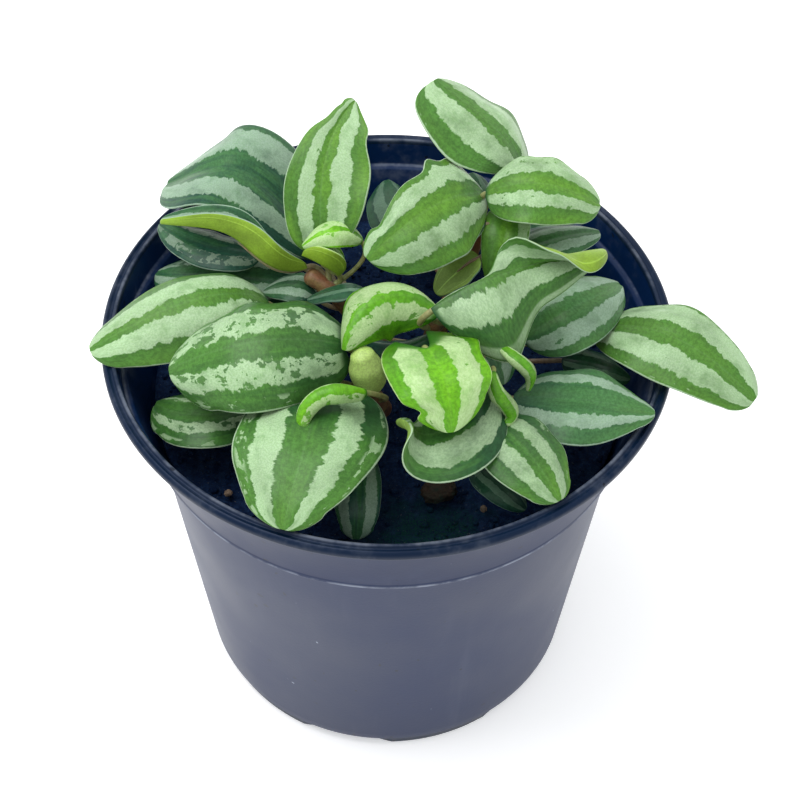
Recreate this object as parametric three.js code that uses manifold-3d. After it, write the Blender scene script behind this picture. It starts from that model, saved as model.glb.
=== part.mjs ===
// A small striped-leaf peperomia growing in a round nursery pot.
// Units are millimetres, +Z is up. The pot's axis is the Z axis and the pot stands on z = 0.
import * as THREE from 'three';
import * as BufferGeometryUtils from 'three/addons/utils/BufferGeometryUtils.js';
import Module from 'manifold-3d';

const wasm = await Module();
wasm.setup();

// ---------------------------------------------------------------- driving dimensions
const GAP = 0.35; // clearance between pieces that touch
const POT = {
  height: 91,
  rimRadius: 54, // outside of the lip
  lipHeight: 2, // upright outer face of the lip
  mouthRadius: 51.5, // inside edge of the lip
  ledgeDrop: 6.3, // inner ledge below the lip's top
  stepHeight: 71.5, // where the upper band ends
  bandRadius: 47.3, // outside of the band at its lower end
  bodyTopRadius: 46.2,
  footRadius: 39.1,
  footHeight: 3.2,
  wall: 1.2,
  padRadius: 9, // flat centre pad under the floor
  sides: 56,
  edge: 0.6, // rounding of the lip's edges
};
// Slots through the foot and the lowest edge of the wall, spaced evenly round the pot.
const DRAIN = { count: 6, width: 12, height: 4.7, inner: 33, firstAngle: -102 };
const SOIL = { top: 74, bottom: POT.footHeight + POT.wall + GAP, sides: 48, rings: [36, 27, 18, 9, 0] };
const LEAF = {
  bladeStations: 10, // closer together near the base and the tip
  firstStation: 0.35, // the first one's place, in spacings from the base
  stalkStations: 3,
  midThickness: 1.3, // at the midrib
  halfThickness: 0.9, // halfway out to the margin
  stalkRadius: 0.9,
  stalkBend: 0.45, // how far back along the rib's line the stalk starts to bend
};

const degrees = THREE.MathUtils.degToRad;
const vec = (p) => new THREE.Vector3(...p);

// ---------------------------------------------------------------- materials
function material(color, roughness, metalness = 0) {
  return new THREE.MeshStandardMaterial({ color, roughness, metalness });
}
const plastic = material(0x4a5468, 0.45);
const earth = material(0x14171d, 0.95);
const stalkSkin = material(0x8a5a45, 0.6);
const budSkin = material(0xb9c27a, 0.6);
const barkSkin = material(0x7a4f35, 0.9);
const gritSkin = material(0xa88f76, 0.9);
const bladeSkins = [
  material(0x9ccb4a, 0.5),
  material(0x6fa648, 0.5),
  material(0x3f7f4b, 0.5),
  material(0x24523c, 0.55),
];

// ---------------------------------------------------------------- helpers
// A closed skin through rings of equal size, with both end rings capped by a fan.
function loft(rings) {
  const size = rings[0].length;
  const points = rings.flat();
  const ends = [rings[0], rings.at(-1)].map((ring) =>
    ring.reduce((sum, p) => sum.add(p), new THREE.Vector3()).divideScalar(size));
  const faces = [];
  for (let i = 0; i < rings.length - 1; i += 1) {
    for (let j = 0; j < size; j += 1) {
      const a = i * size + j;
      const b = i * size + (j + 1) % size;
      faces.push(a, b, a + size, b, b + size, a + size);
    }
  }
  const first = points.length;
  const last = (rings.length - 1) * size;
  for (let j = 0; j < size; j += 1) {
    const k = (j + 1) % size;
    faces.push(first, k, j, first + 1, last + j, last + k);
  }
  const positions = [...points, ...ends].flatMap((p) => p.toArray());
  const geometry = new THREE.BufferGeometry();
  geometry.setAttribute('position', new THREE.Float32BufferAttribute(positions, 3));
  geometry.setIndex(faces);
  return geometry;
}

function lathe(profile, sides) {
  const geometry = new THREE.LatheGeometry(profile.map((p) => new THREE.Vector2(...p)), sides);
  return geometry.rotateX(Math.PI / 2);
}

function toSolid(geometry) {
  const bare = geometry.clone();
  bare.deleteAttribute('normal');
  bare.deleteAttribute('uv');
  const merged = BufferGeometryUtils.mergeVertices(bare, 1e-4);
  const vertProperties = new Float32Array(merged.attributes.position.array);
  const triVerts = new Uint32Array(merged.index.array);
  return new wasm.Manifold(new wasm.Mesh({ numProp: 3, vertProperties, triVerts }));
}

function toGeometry(solid) {
  const mesh = solid.getMesh();
  const geometry = new THREE.BufferGeometry();
  geometry.setAttribute('position', new THREE.Float32BufferAttribute(mesh.vertProperties, 3));
  geometry.setIndex(new THREE.Uint32BufferAttribute(mesh.triVerts, 1));
  return geometry;
}

// The smooth curve that passes through every given point, evenly spaced in t.
function curveAt(points, t) {
  const result = new THREE.Vector3();
  const spans = points.length - 1;
  points.forEach((point, i) => {
    let weight = 1;
    for (let j = 0; j <= spans; j += 1) {
      if (j !== i) weight *= (t * spans - j) / (i - j);
    }
    result.addScaledVector(point, weight);
  });
  return result;
}

// A value that runs through the given list from t = 0 to t = 1.
function along(values, t) {
  const place = t * (values.length - 1);
  const i = Math.min(Math.floor(place), values.length - 2);
  return values.length < 2 ? values[0] : THREE.MathUtils.lerp(values[i], values[i + 1], place - i);
}

// ---------------------------------------------------------------- pot and soil
function bodyRadius(z) {
  return THREE.MathUtils.lerp(POT.footRadius, POT.bodyTopRadius, z / POT.stepHeight);
}

function makePot() {
  const { height, rimRadius, mouthRadius, wall, footHeight, stepHeight, bandRadius, edge } = POT;
  const ledge = height - POT.ledgeDrop;
  const lipBase = height - POT.lipHeight;
  const floorTop = footHeight + wall;
  const profile = [
    [0, 0],
    [POT.padRadius, 0],
    [POT.padRadius + edge, footHeight],
    [POT.footRadius - 2 * wall - edge, footHeight],
    [POT.footRadius - 2 * wall, 0],
    [POT.footRadius - edge / 2, 0],
    [POT.footRadius, footHeight - edge],
    [bodyRadius(footHeight) + edge / 2, footHeight],
    [POT.bodyTopRadius, stepHeight - edge],
    [bandRadius, stepHeight],
    [bandRadius + edge / 2, stepHeight + edge],
    [mouthRadius + edge, lipBase - 2 * edge],
    [mouthRadius + 2.5 * edge, lipBase - edge / 3],
    [rimRadius - edge, lipBase],
    [rimRadius, lipBase + edge],
    [rimRadius, height - edge],
    [rimRadius - edge, height],
    [mouthRadius + edge, height],
    [mouthRadius, height - edge],
    [mouthRadius - edge, ledge + edge],
    [mouthRadius - 3 * edge, ledge],
    [bandRadius - wall + edge / 2, stepHeight + edge],
    [bodyRadius(stepHeight) - wall, stepHeight - 2 * edge],
    [bodyRadius(floorTop) - wall, floorTop],
    [0, floorTop],
  ];
  let pot = toSolid(lathe(profile, POT.sides));
  const length = POT.rimRadius - DRAIN.inner;
  for (let i = 0; i < DRAIN.count; i += 1) {
    const cutter = new THREE.BoxGeometry(length, DRAIN.width, 2 * DRAIN.height);
    cutter.translate(DRAIN.inner + length / 2, 0, 0);
    cutter.rotateZ(degrees(DRAIN.firstAngle + (i * 360) / DRAIN.count));
    pot = pot.subtract(toSolid(cutter));
  }
  return toGeometry(pot);
}

// Gentle mounds and hollows in the soil's surface.
function soilHeight(x, y) {
  return SOIL.top + 0.45 * Math.sin(x / 6 + 1) * Math.cos(y / 7) + 0.3 * Math.sin(x / 3.1 - y / 4.3);
}

function makeSoil() {
  const below = POT.stepHeight - 2;
  const wallAt = (z) => bodyRadius(z) - POT.wall - GAP;
  const profile = [
    [0, SOIL.bottom],
    [wallAt(SOIL.bottom), SOIL.bottom],
    [wallAt(below), below],
    [POT.bandRadius - POT.wall - 2 * GAP, SOIL.top],
    ...SOIL.rings.map((radius) => [radius, SOIL.top]),
  ];
  const geometry = lathe(profile, SOIL.sides);
  const position = geometry.attributes.position;
  for (let i = 0; i < position.count; i += 1) {
    const x = position.getX(i);
    const y = position.getY(i);
    if (position.getZ(i) > POT.stepHeight) position.setZ(i, soilHeight(x, y));
  }
  return geometry;
}

// ---------------------------------------------------------------- shoot stems
// Each shoot's centre line from the soil up to its growing point, and its radius at both ends.
const STEMS = {
  left: { line: [[-4, 2, 76], [-7, 3, 85], [-10, 5, 94]], radius: [2.1, 1.5] },
  back: { line: [[9, 10, 76], [14, 13, 90], [17, 15, 102]], radius: [2.1, 1.5] },
  middle: { line: [[6, 0, 76], [8, -3, 87], [8, -6, 98]], radius: [2.1, 1.5] },
  front: { line: [[-1, -9, 76], [-2, -14, 84], [-3, -16, 91]], radius: [2, 1.4] },
  right: { line: [[12, -13, 76], [16, -17, 84], [17, -19, 92]], radius: [2, 1.4] },
};
const STEM_SIDES = 10;
const STEM_STATIONS = 7;
const STEM_SWELLINGS = 3; // places where a shoot swells, where old leaves grew
const STEM_BULGE = 1.12; // how much it swells there

function stemAt(stem, t) {
  return curveAt(stem.line.map(vec), t);
}

function crossSections(centre, radiusAt, sides, stations) {
  const rings = [];
  for (let i = 0; i < stations; i += 1) {
    const t = i / (stations - 1);
    const ahead = centre(Math.min(t + 0.01, 1)).sub(centre(Math.max(t - 0.01, 0))).normalize();
    const across = new THREE.Vector3(0, 1, 0).cross(ahead).normalize();
    const other = ahead.clone().cross(across);
    const ring = [];
    for (let j = 0; j < sides; j += 1) {
      const angle = (2 * Math.PI * j) / sides;
      const spoke = across.clone().multiplyScalar(Math.cos(angle)).addScaledVector(other, Math.sin(angle));
      ring.push(centre(t).addScaledVector(spoke, radiusAt(t)));
    }
    rings.push(ring);
  }
  return rings;
}

function makeStem(stem) {
  const swelling = (t) => 1 + (STEM_BULGE - 1) * Math.cos(2 * Math.PI * STEM_SWELLINGS * t);
  const radiusAt = (t) => along(stem.radius, t) * swelling(t);
  return loft(crossSections((t) => stemAt(stem, t), radiusAt, STEM_SIDES, STEM_STATIONS));
}

// ---------------------------------------------------------------- leaves
// stem, at: the shoot that the leaf grows from, and the height where its stalk leaves it.
// age: 0 for the youngest, palest leaves up to 3 for the oldest, darkest ones.
// width: the widest breadth; wide: where along the rib that is, from 0 at the base to 1 at the tip.
// blunt: how round the base and the tip are, lower being blunter; lobe: how far back the base lobes reach.
// rib: points that the midrib passes through, from the leaf's base to its tip.
// left, right: the blade's halves, seen from above with the tip ahead. rise is the angle that a half
// stands up by at the rib, and curl is how far it bends on from there to its margin, upwards if positive.
// roll: turn of the whole blade about its rib, right side up; skew: extra breadth of the right half.
// A list gives values from base to tip.
const LEAVES = {
  leaf_back_left: {
    stem: 'left', at: 87, age: 2, width: 25, wide: 0.42, blunt: [0.35, 0.35],
    roll: [5], skew: [0.2, 0.1, -0.1],
    rib: [[-13, 18, 91], [-26, 25, 103], [-34, 26, 105], [-44, 29, 98]],
    left: { rise: [5], curl: [-5] }, right: { rise: [5], curl: [-25] },
  },
  leaf_upright: {
    stem: 'left', at: 93, age: 1, width: 16.5, wide: 0.42, blunt: [0.5, 0.75], skew: [0, 0.12, 0.2, 0.35],
    rib: [[-12, 9, 100], [-13, 15, 107], [-12, 23, 114], [-8, 29, 120]],
    left: { rise: [8], curl: [0] }, right: { rise: [8], curl: [0] },
  },
  leaf_young_curl: {
    stem: 'left', at: 92, age: 0, width: 7,
    rib: [[-13, 3, 98], [-14, 2, 104], [-17, 4, 102]],
    left: { rise: [60], curl: [50] }, right: { rise: [20], curl: [30] },
  },
  leaf_young_tip: {
    stem: 'left', at: 93, age: 0, width: 7,
    rib: [[-9, 5, 100], [-8, 4, 105], [-5, 3, 107]],
    left: { rise: [0], curl: [-60] }, right: { rise: [0], curl: [-60] },
  },
  leaf_left_boat: {
    stem: 'left', at: 92, age: 2, width: 10, skew: [-0.6],
    rib: [[-16, 6, 98], [-28, 7, 104], [-44, 16, 101]],
    left: { rise: [95, 95, 75], curl: [10] }, right: { rise: [-10], curl: [10] },
  },
  leaf_left_back: {
    stem: 'left', at: 86, age: 2, width: 11,
    rib: [[-25, 13, 95], [-35, 14, 96], [-45, 22, 94]],
  },
  leaf_left_lower: {
    stem: 'left', at: 84, age: 2, width: 16, blunt: [0.5, 0.4],
    rib: [[-17, 12, 88], [-31, 12, 90], [-46, 16, 86]],
  },
  leaf_left_rim: {
    stem: 'left', at: 81, age: 1, width: 19, wide: 0.55, blunt: [0.4, 0.45], roll: [10], skew: [-0.1],
    rib: [[-23, 3, 92], [-35, -3, 99], [-55, -10, 92]],
    left: { rise: [-5], curl: [-25] }, right: { rise: [-5], curl: [-35] },
  },
  leaf_left_oval: {
    stem: 'front', at: 89, age: 1, width: 25, wide: 0.5, blunt: [0.42, 0.42], lobe: 2, roll: [15],
    rib: [[-8, -14, 99], [-23, -19, 105], [-39, -18, 96]],
    left: { rise: [-5], curl: [-35] }, right: { rise: [-5], curl: [-45] },
  },
  leaf_left_soil: {
    stem: 'front', at: 79, age: 3, width: 14,
    rib: [[-24, -17, 86], [-34, -21, 87], [-43, -15, 83]],
  },
  leaf_front_large: {
    stem: 'front', at: 86, age: 1, width: 27, skew: [0, 0, 0.08, 0.22], wide: 0.33, blunt: [0.42, 0.58], lobe: 3,
    rib: [[-11, -21, 95], [-14, -37, 97], [-17, -50, 92]],
  },
  leaf_front_twist: {
    stem: 'front', at: 84, age: 0, width: 5,
    rib: [[-4, -26, 102], [-8, -28, 105], [-11, -28, 104], [-12, -30, 100]],
    left: { rise: [0], curl: [-70] }, right: { rise: [0], curl: [-70] },
  },
  leaf_front_low: {
    stem: 'front', at: 80, age: 3, width: 9, blunt: [0.5, 0.35],
    rib: [[-6, -22, 84], [-5, -36, 85], [-5, -42, 79]],
  },
  leaf_centre_curl: {
    stem: 'middle', at: 98, age: 0, width: 12,
    rib: [[-6, -14, 100], [-2, -9, 106], [8, -10, 105]],
    left: { rise: [0], curl: [-40] }, right: { rise: [0], curl: [-70] },
  },
  leaf_centre_under: {
    stem: 'middle', at: 87, age: 2, width: 7,
    rib: [[-5, -5, 90], [1, -10, 93], [9, -7, 95]],
  },
  leaf_heart: {
    stem: 'right', at: 90, age: 0, width: 18.5, wide: 0.4, blunt: [0.38, 0.5], lobe: 8,
    rib: [[7, -22, 107], [10, -31, 109], [11, -36, 102]],
    left: { rise: [0], curl: [-30] }, right: { rise: [0], curl: [-30] },
  },
  leaf_hook: {
    stem: 'right', at: 90, age: 2, width: 13, blunt: [0.5, 0.35],
    rib: [[16, -25, 99], [15, -31, 98], [10, -35, 97], [4, -34, 100]],
  },
  leaf_front_right: {
    stem: 'right', at: 85, age: 1, width: 15, blunt: [0.5, 0.45],
    rib: [[17, -27, 95], [24, -35, 96], [30, -43, 92]],
  },
  leaf_right_pointed: {
    stem: 'right', at: 84, age: 2, width: 19, wide: 0.45, blunt: [0.5, 0.75],
    rib: [[23, -19, 91], [35, -22, 94], [48, -24, 93]],
  },
  leaf_sliver_low: {
    stem: 'right', at: 91, age: 0, width: 4,
    rib: [[19, -21, 101], [21, -27, 101], [24, -29, 97]],
  },
  leaf_sliver_high: {
    stem: 'right', at: 90, age: 0, width: 4,
    rib: [[24, -13, 102], [26, -17, 102], [27, -21, 98]],
  },
  leaf_right_rim: {
    stem: 'middle', at: 85, age: 1, width: 19, wide: 0.5, blunt: [0.5, 0.42], roll: [-5],
    rib: [[39, -1, 90], [52, -9, 97], [67, -18, 90]],
  },
  leaf_right_broad: {
    stem: 'middle', at: 87, age: 2, width: 16, roll: [-10],
    rib: [[25, -5, 92], [34, -3, 98], [44, 8, 93]],
  },
  leaf_centre_right: {
    stem: 'middle', at: 95, age: 1, width: 16, skew: [0.35, 0.35, 0.2, 0], roll: [-10],
    rib: [[9, -11, 106], [21, -6, 110], [39, 2, 108]],
    left: { rise: [-50, -50, -45, 0], curl: [-20, -20, 0, 150] }, right: { rise: [0], curl: [-20] },
  },
  leaf_right_back: {
    stem: 'back', at: 94, age: 2, width: 9,
    rib: [[22, 10, 98], [31, 12, 101], [40, 16, 99]],
  },
  leaf_right_shade: {
    stem: 'back', at: 89, age: 3, width: 11,
    rib: [[22, 13, 96], [28, 15, 97], [35, 20, 95]],
  },
  leaf_back_top: {
    stem: 'back', at: 98, age: 1, width: 25, skew: [0, 0, -0.08, -0.12], wide: 0.55, blunt: [0.5, 0.33],
    rib: [[25, 25, 105], [22, 29, 110], [16, 33, 114], [8, 39, 117]],
    left: { rise: [10], curl: [-10] }, right: { rise: [-25], curl: [-10] },
  },
  leaf_top_right: {
    stem: 'back', at: 101, age: 1, width: 16, blunt: [0.42, 0.42], roll: [-10],
    rib: [[20, 16, 110], [29, 14, 113], [39, 14, 108]],
  },
  leaf_top_centre: {
    stem: 'back', at: 101, age: 1, width: 18, blunt: [0.42, 0.5], roll: [25], skew: [0.1, -0.2, -0.55],
    rib: [[16, 17, 107], [8, 9, 112], [-4, 1, 106]],
  },
  leaf_back_dark: {
    stem: 'back', at: 87, age: 3, width: 12,
    rib: [[4, 22, 91], [1, 29, 92], [-1, 42, 88]],
  },
  leaf_back_small: {
    stem: 'back', at: 89, age: 3, width: 7,
    rib: [[18, 27, 95], [17, 31, 96], [16, 36, 96]],
  },
  leaf_inner_olive: {
    stem: 'back', at: 92, age: 3, width: 8, roll: [180],
    rib: [[17, 8, 100], [13, 6, 98], [9, 3, 95]],
  },
  leaf_inner_left: {
    stem: 'left', at: 88, age: 2, width: 8,
    rib: [[-14, 5, 92], [-18, 6, 94], [-24, 7, 91]],
  },
  leaf_inner_arc: {
    stem: 'left', at: 88, age: 3, width: 5, roll: [-30],
    rib: [[-5, 2, 97], [-9, 1, 98], [-15, 1, 95]],
  },
  leaf_inner_grey: {
    stem: 'back', at: 99, age: 2, width: 5.5,
    rib: [[18, 12, 105], [14, 11, 104], [9, 7, 101]],
  },
  leaf_right_soil: {
    stem: 'middle', at: 80, age: 3, width: 9,
    rib: [[33, -5, 86], [39, -6, 86], [46, -6, 82]],
  },
  leaf_front_right_low: {
    stem: 'right', at: 80, age: 3, width: 8,
    rib: [[16, -30, 86], [20, -35, 87], [25, -38, 83]],
  },
  leaf_inner_striped: {
    stem: 'middle', at: 90, age: 2, width: 11,
    rib: [[15, -7, 97], [19, -10, 95], [22, -14, 90]],
  },
  leaf_inner_hanging: {
    stem: 'back', at: 97, age: 1, width: 6,
    rib: [[21, 8, 106], [22, 8, 104], [22, 7, 100]],
  },
  leaf_rear_left: {
    stem: 'left', at: 82, age: 2, width: 13,
    rib: [[-14, 20, 88], [-20, 29, 90], [-25, 38, 86]],
  },
  leaf_rear_middle: {
    stem: 'back', at: 84, age: 2, width: 13,
    rib: [[12, 22, 86], [12, 32, 88], [12, 42, 85]],
  },
  leaf_rear_right: {
    stem: 'back', at: 85, age: 2, width: 13,
    rib: [[24, 17, 87], [31, 24, 89], [37, 30, 86]],
  },
};

const PLAIN_HALF = { rise: [0], curl: [-20] };

// Centre, sideways and upward directions of a leaf at t along its rib.
function ribFrame(points, roll, t) {
  const step = 0.001;
  const centre = curveAt(points, t);
  const ahead = curveAt(points, t + step).sub(curveAt(points, t - step)).normalize();
  const chord = points.at(-1).clone().sub(points[0]);
  const side = new THREE.Vector3(chord.y, -chord.x, 0).normalize();
  side.addScaledVector(ahead, -side.dot(ahead)).normalize();
  const up = side.clone().cross(ahead);
  const turn = -degrees(along(roll, t));
  side.applyAxisAngle(ahead, turn);
  up.applyAxisAngle(ahead, turn);
  return { centre, ahead, side, up };
}

function halfBreadth(leaf, t) {
  const { width, wide = 0.45, blunt = [0.5, 0.5] } = leaf;
  const power = Math.log(0.5) / Math.log(wide);
  const round = t < wide ? blunt[0] : blunt[1];
  return (width / 2) * Math.sin(Math.PI * t ** power) ** round;
}

// A point of the blade's middle surface, at t along the rib and v across it (-1 left margin, 1 right),
// with the direction that its upper face looks in.
function bladePoint(leaf, points, t, v) {
  const { centre, ahead, side, up } = ribFrame(points, leaf.roll ?? [0], t);
  const hand = Math.sign(v) || 1;
  const half = (hand < 0 ? leaf.left : leaf.right) ?? PLAIN_HALF;
  const reach = Math.abs(v);
  const rise = degrees(along(half.rise, t));
  const curl = degrees(along(half.curl, t)) || 0.001;
  const breadth = halfBreadth(leaf, t) * (1 + hand * along(leaf.skew ?? [0], t));
  const out = (breadth / curl) * (Math.sin(rise + curl * reach) - Math.sin(rise));
  const lift = (breadth / curl) * (Math.cos(rise) - Math.cos(rise + curl * reach));
  const sweep = -(leaf.lobe ?? 0) * reach ** 1.4 * (1 - t) ** 3;
  centre.addScaledVector(side, hand * out).addScaledVector(up, lift).addScaledVector(ahead, sweep);
  const tilt = rise + curl * reach;
  const normal = up.multiplyScalar(Math.cos(tilt)).addScaledVector(side, -hand * Math.sin(tilt));
  return { point: centre, normal };
}

// Eight points round the blade at t: both margins, three on the upper face and three on the lower.
function bladeRing(leaf, points, t) {
  const upper = [-1, -0.5, 0, 0.5, 1].map((v) => {
    const { point, normal } = bladePoint(leaf, points, t, v);
    const thick = { 0: LEAF.midThickness, 0.5: LEAF.halfThickness, 1: 0 }[Math.abs(v)];
    return point.addScaledVector(normal, thick / 2);
  });
  const lower = [0.5, 0, -0.5].map((v) => {
    const { point, normal } = bladePoint(leaf, points, t, v);
    const thick = v ? LEAF.halfThickness : LEAF.midThickness;
    return point.addScaledVector(normal, -thick / 2);
  });
  return [...upper, ...lower];
}

// The stalk runs from just off the shoot's skin and swings round into the line of the rib.
function stalkRings(leaf, points) {
  const stem = STEMS[leaf.stem];
  const foot = stem.line[0][2];
  const place = THREE.MathUtils.clamp((leaf.at - foot) / (stem.line.at(-1)[2] - foot), 0, 1);
  const joint = stemAt(stem, place);
  const growth = stemAt(stem, place + 0.01).sub(joint).normalize();
  const { centre, ahead, side, up } = ribFrame(points, leaf.roll ?? [0], 0);
  const outward = centre.clone().sub(joint);
  outward.addScaledVector(growth, -outward.dot(growth)).normalize();
  const start = joint.clone().addScaledVector(outward, along(stem.radius, place) * STEM_BULGE + GAP);
  const bend = centre.clone().addScaledVector(ahead, -LEAF.stalkBend * centre.distanceTo(start));
  const rings = [];
  for (let i = 0; i < LEAF.stalkStations; i += 1) {
    const t = i / LEAF.stalkStations;
    const middle = start.clone().multiplyScalar((1 - t) ** 2)
      .addScaledVector(bend, 2 * t * (1 - t)).addScaledVector(centre, t ** 2);
    const heading = bend.clone().sub(start).multiplyScalar(1 - t)
      .addScaledVector(centre.clone().sub(bend), t).normalize();
    if (i === 0) heading.copy(outward);
    const across = side.clone().addScaledVector(heading, -side.dot(heading)).normalize();
    const above = across.clone().cross(heading);
    const ring = [];
    for (let j = 0; j < 8; j += 1) {
      const angle = Math.PI - (j * Math.PI) / 4;
      ring.push(middle.clone().addScaledVector(across, LEAF.stalkRadius * Math.cos(angle))
        .addScaledVector(above, LEAF.stalkRadius * Math.sin(angle)));
    }
    rings.push(ring);
  }
  return rings;
}

function makeLeaf(leaf) {
  const points = leaf.rib.map(vec);
  const rings = stalkRings(leaf, points);
  const spacings = LEAF.bladeStations - 1 + 2 * LEAF.firstStation;
  for (let i = 0; i < LEAF.bladeStations; i += 1) {
    const t = (1 - Math.cos((Math.PI * (i + LEAF.firstStation)) / spacings)) / 2;
    rings.push(bladeRing(leaf, points, t));
  }
  return loft(rings);
}

// ---------------------------------------------------------------- bud, bark and grit
// The rolled-up young shoot that stands just clear of the front stem's top.
const BUD = {
  line: [[-3, -16, 91.6], [-3, -17, 94], [-3, -18, 98]],
  radius: [1.2, 3, 3.2, 1.4],
  sides: 12,
  stations: 7,
};

function makeBud() {
  const centre = (t) => curveAt(BUD.line.map(vec), t);
  return loft(crossSections(centre, (t) => along(BUD.radius, t), BUD.sides, BUD.stations));
}

// Loose pieces on the soil: where each lies, and its length, breadth and height.
const CRUMBS = {
  bark_front: { at: [10, -29], size: [7, 5, 3], turn: 20 },
  grit_left_pale: { at: [-43.5, -9], size: [2.2, 1.8, 1.6], turn: 10 },
  grit_left_brown: { at: [-42, -13], size: [3.4, 2.8, 2.2], turn: 60 },
  grit_front_left: { at: [-29, -29.5], size: [1.8, 1.5, 1.4], turn: 30 },
  grit_front_right: { at: [18, -32.5], size: [1.6, 1.4, 1.2], turn: 80 },
};

// A lumpy grain, resting on z = 0.
function makeCrumb(size) {
  const geometry = new THREE.IcosahedronGeometry(0.5, 1);
  const position = geometry.attributes.position;
  for (let i = 0; i < position.count; i += 1) {
    const [x, y, z] = [position.getX(i), position.getY(i), position.getZ(i)];
    const lump = 1 + 0.12 * Math.sin(9 * x + 4 * z) + 0.08 * Math.cos(11 * y - 5 * x);
    position.setXYZ(i, x * lump, y * lump, z * lump);
  }
  geometry.scale(...size);
  geometry.computeBoundingBox();
  return geometry.translate(0, 0, -geometry.boundingBox.min.z);
}

// The height of the highest soil under a grain at (x, y).
function soilCrest(x, y) {
  const reach = 1.5;
  return Math.max(soilHeight(x, y), soilHeight(x + reach, y), soilHeight(x - reach, y));
}

// ---------------------------------------------------------------- assembly
const plant = new THREE.Group();

function add(name, geometry, skin, place = new THREE.Vector3()) {
  const mesh = new THREE.Mesh(geometry, skin);
  mesh.name = name;
  mesh.position.copy(place);
  plant.add(mesh);
  return mesh;
}

// Adds a mesh whose geometry is drawn where it stands, with its own origin moved to the given point.
function addAt(name, geometry, skin, origin) {
  geometry.translate(...origin.map((value) => -value));
  return add(name, geometry, skin, vec(origin));
}

add('pot', makePot(), plastic);
add('soil', makeSoil(), earth);
for (const [name, stem] of Object.entries(STEMS)) {
  addAt(`stem_${name}`, makeStem(stem), stalkSkin, stem.line[0]);
}
for (const [name, leaf] of Object.entries(LEAVES)) {
  addAt(name, makeLeaf(leaf), bladeSkins[leaf.age], leaf.rib[0]);
}
addAt('bud_front', makeBud(), budSkin, BUD.line[0]);
for (const [name, { at, size, turn }] of Object.entries(CRUMBS)) {
  const skin = name.startsWith('bark') ? barkSkin : gritSkin;
  const crumb = add(name, makeCrumb(size), skin, vec([...at, soilCrest(...at) + 2 * GAP]));
  crumb.rotation.z = degrees(turn);
}

export default plant;
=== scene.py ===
"""A small striped-leaf peperomia growing in a round nursery pot, laid out as an add-on.

Lengths in the tables are millimetres, with +Z up and the pot's axis on Z. The pot stands on z = 0.
"""

from math import cos, exp, log, pi, radians, sin
from random import Random

import bmesh
import bpy
from mathutils import Matrix, Vector, noise


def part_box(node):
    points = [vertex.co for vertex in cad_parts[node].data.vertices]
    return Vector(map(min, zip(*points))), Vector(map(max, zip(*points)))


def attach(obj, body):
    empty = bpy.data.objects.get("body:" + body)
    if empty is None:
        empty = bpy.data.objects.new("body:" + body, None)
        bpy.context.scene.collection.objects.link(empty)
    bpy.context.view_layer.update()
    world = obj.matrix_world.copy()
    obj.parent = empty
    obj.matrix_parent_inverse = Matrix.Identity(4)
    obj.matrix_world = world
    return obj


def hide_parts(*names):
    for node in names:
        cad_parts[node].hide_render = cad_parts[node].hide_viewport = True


bl_info = {
    "name": "Potted Peperomia",
    "version": (1, 0, 0),
    "blender": (4, 5, 0),
    "location": "View3D > Sidebar > Peperomia",
    "description": "Builds a small striped-leaf peperomia in a nursery pot",
    "category": "Object",
}

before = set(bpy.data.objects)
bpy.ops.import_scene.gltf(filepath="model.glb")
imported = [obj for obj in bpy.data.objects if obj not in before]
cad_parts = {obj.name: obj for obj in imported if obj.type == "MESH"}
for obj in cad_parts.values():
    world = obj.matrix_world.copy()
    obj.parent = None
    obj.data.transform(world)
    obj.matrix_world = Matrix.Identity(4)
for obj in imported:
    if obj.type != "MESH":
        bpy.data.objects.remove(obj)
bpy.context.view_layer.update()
MM = 0.001

# ------------------------------------------------------------------ tables

# Radius and height of the pot's turned outline, from the centre of the floor's underside, round the
# foot, up the outside, over the lip and down the inside. The third value rounds the corner. The points
# at heights 5.3, 8 and 12 lie on the straight wall, and keep the faces round the drain slots small.
POT_OUTLINE = (
    (0, 0, 0), (9, 0, 0.3), (9.6, 3.2, 0.3), (36.1, 3.2, 0.3), (36.7, 0, 0.3), (38.8, 0, 0.3),
    (39.1, 2.7, 0.2), (39.8, 3.2, 0.3), (39.999, 5.3, 0), (40.254, 8, 0), (40.632, 12, 0),
    (46.2, 70.9, 0.2), (47.5, 71.2, 0.15), (47.85, 71.8, 0.25), (47.8, 72.8, 0.2),
    (51.9, 87.6, 0.6), (53.2, 88.9, 0.3), (53.7, 89.0, 0.2), (54, 89.4, 0.3), (54, 90.5, 0.5),
    (53.3, 91, 0.3), (52.9, 90.65, 0.2), (52.5, 90.6, 0.2), (52.2, 91, 0.15), (51.7, 91, 0.2),
    (51.4, 90.4, 0.3), (50.9, 85.2, 0.3), (49.7, 84.7, 0.4),
    (46.4, 72.2, 0.5), (45.0, 69.0, 0.5), (38.3, 4.4, 0.6), (0, 4.4, 0),
)
POT_SIDES = 192
# Heights where one finish of the pot goes over to another.
POT_HEIGHTS = {"lip": 88.4, "collar": 71.4, "floor": 4.3, "foot": 2.9}
# For each finish: its colour among the settings, how much rougher than the plastic it is, how soiled and how
# shiny, the radius and height of the circle where a pale line is painted as a highlight, and how strong that
# painted highlight is.
POT_FINISHES = {
    "outside": dict(colour="plastic", rougher=0, soiling=0, shine=0.42, edge=(47.9, 71.9), wear=0.2),
    "rim": dict(colour="rim", rougher=-0.06, soiling=0.4, shine=0.2, edge=(51.9, 91), wear=0.16),
    "inside": dict(colour="inside", rougher=0.05, soiling=0.6, shine=0.22, edge=(50.7, 85), wear=0.2),
    "collar": dict(colour="plastic", rougher=0, soiling=0.2, shine=0.23, edge=(47.9, 71.9), wear=0.4),
}
BLUISH = (0.66, 0.74, 1)  # tint of the plastic's shine
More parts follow.
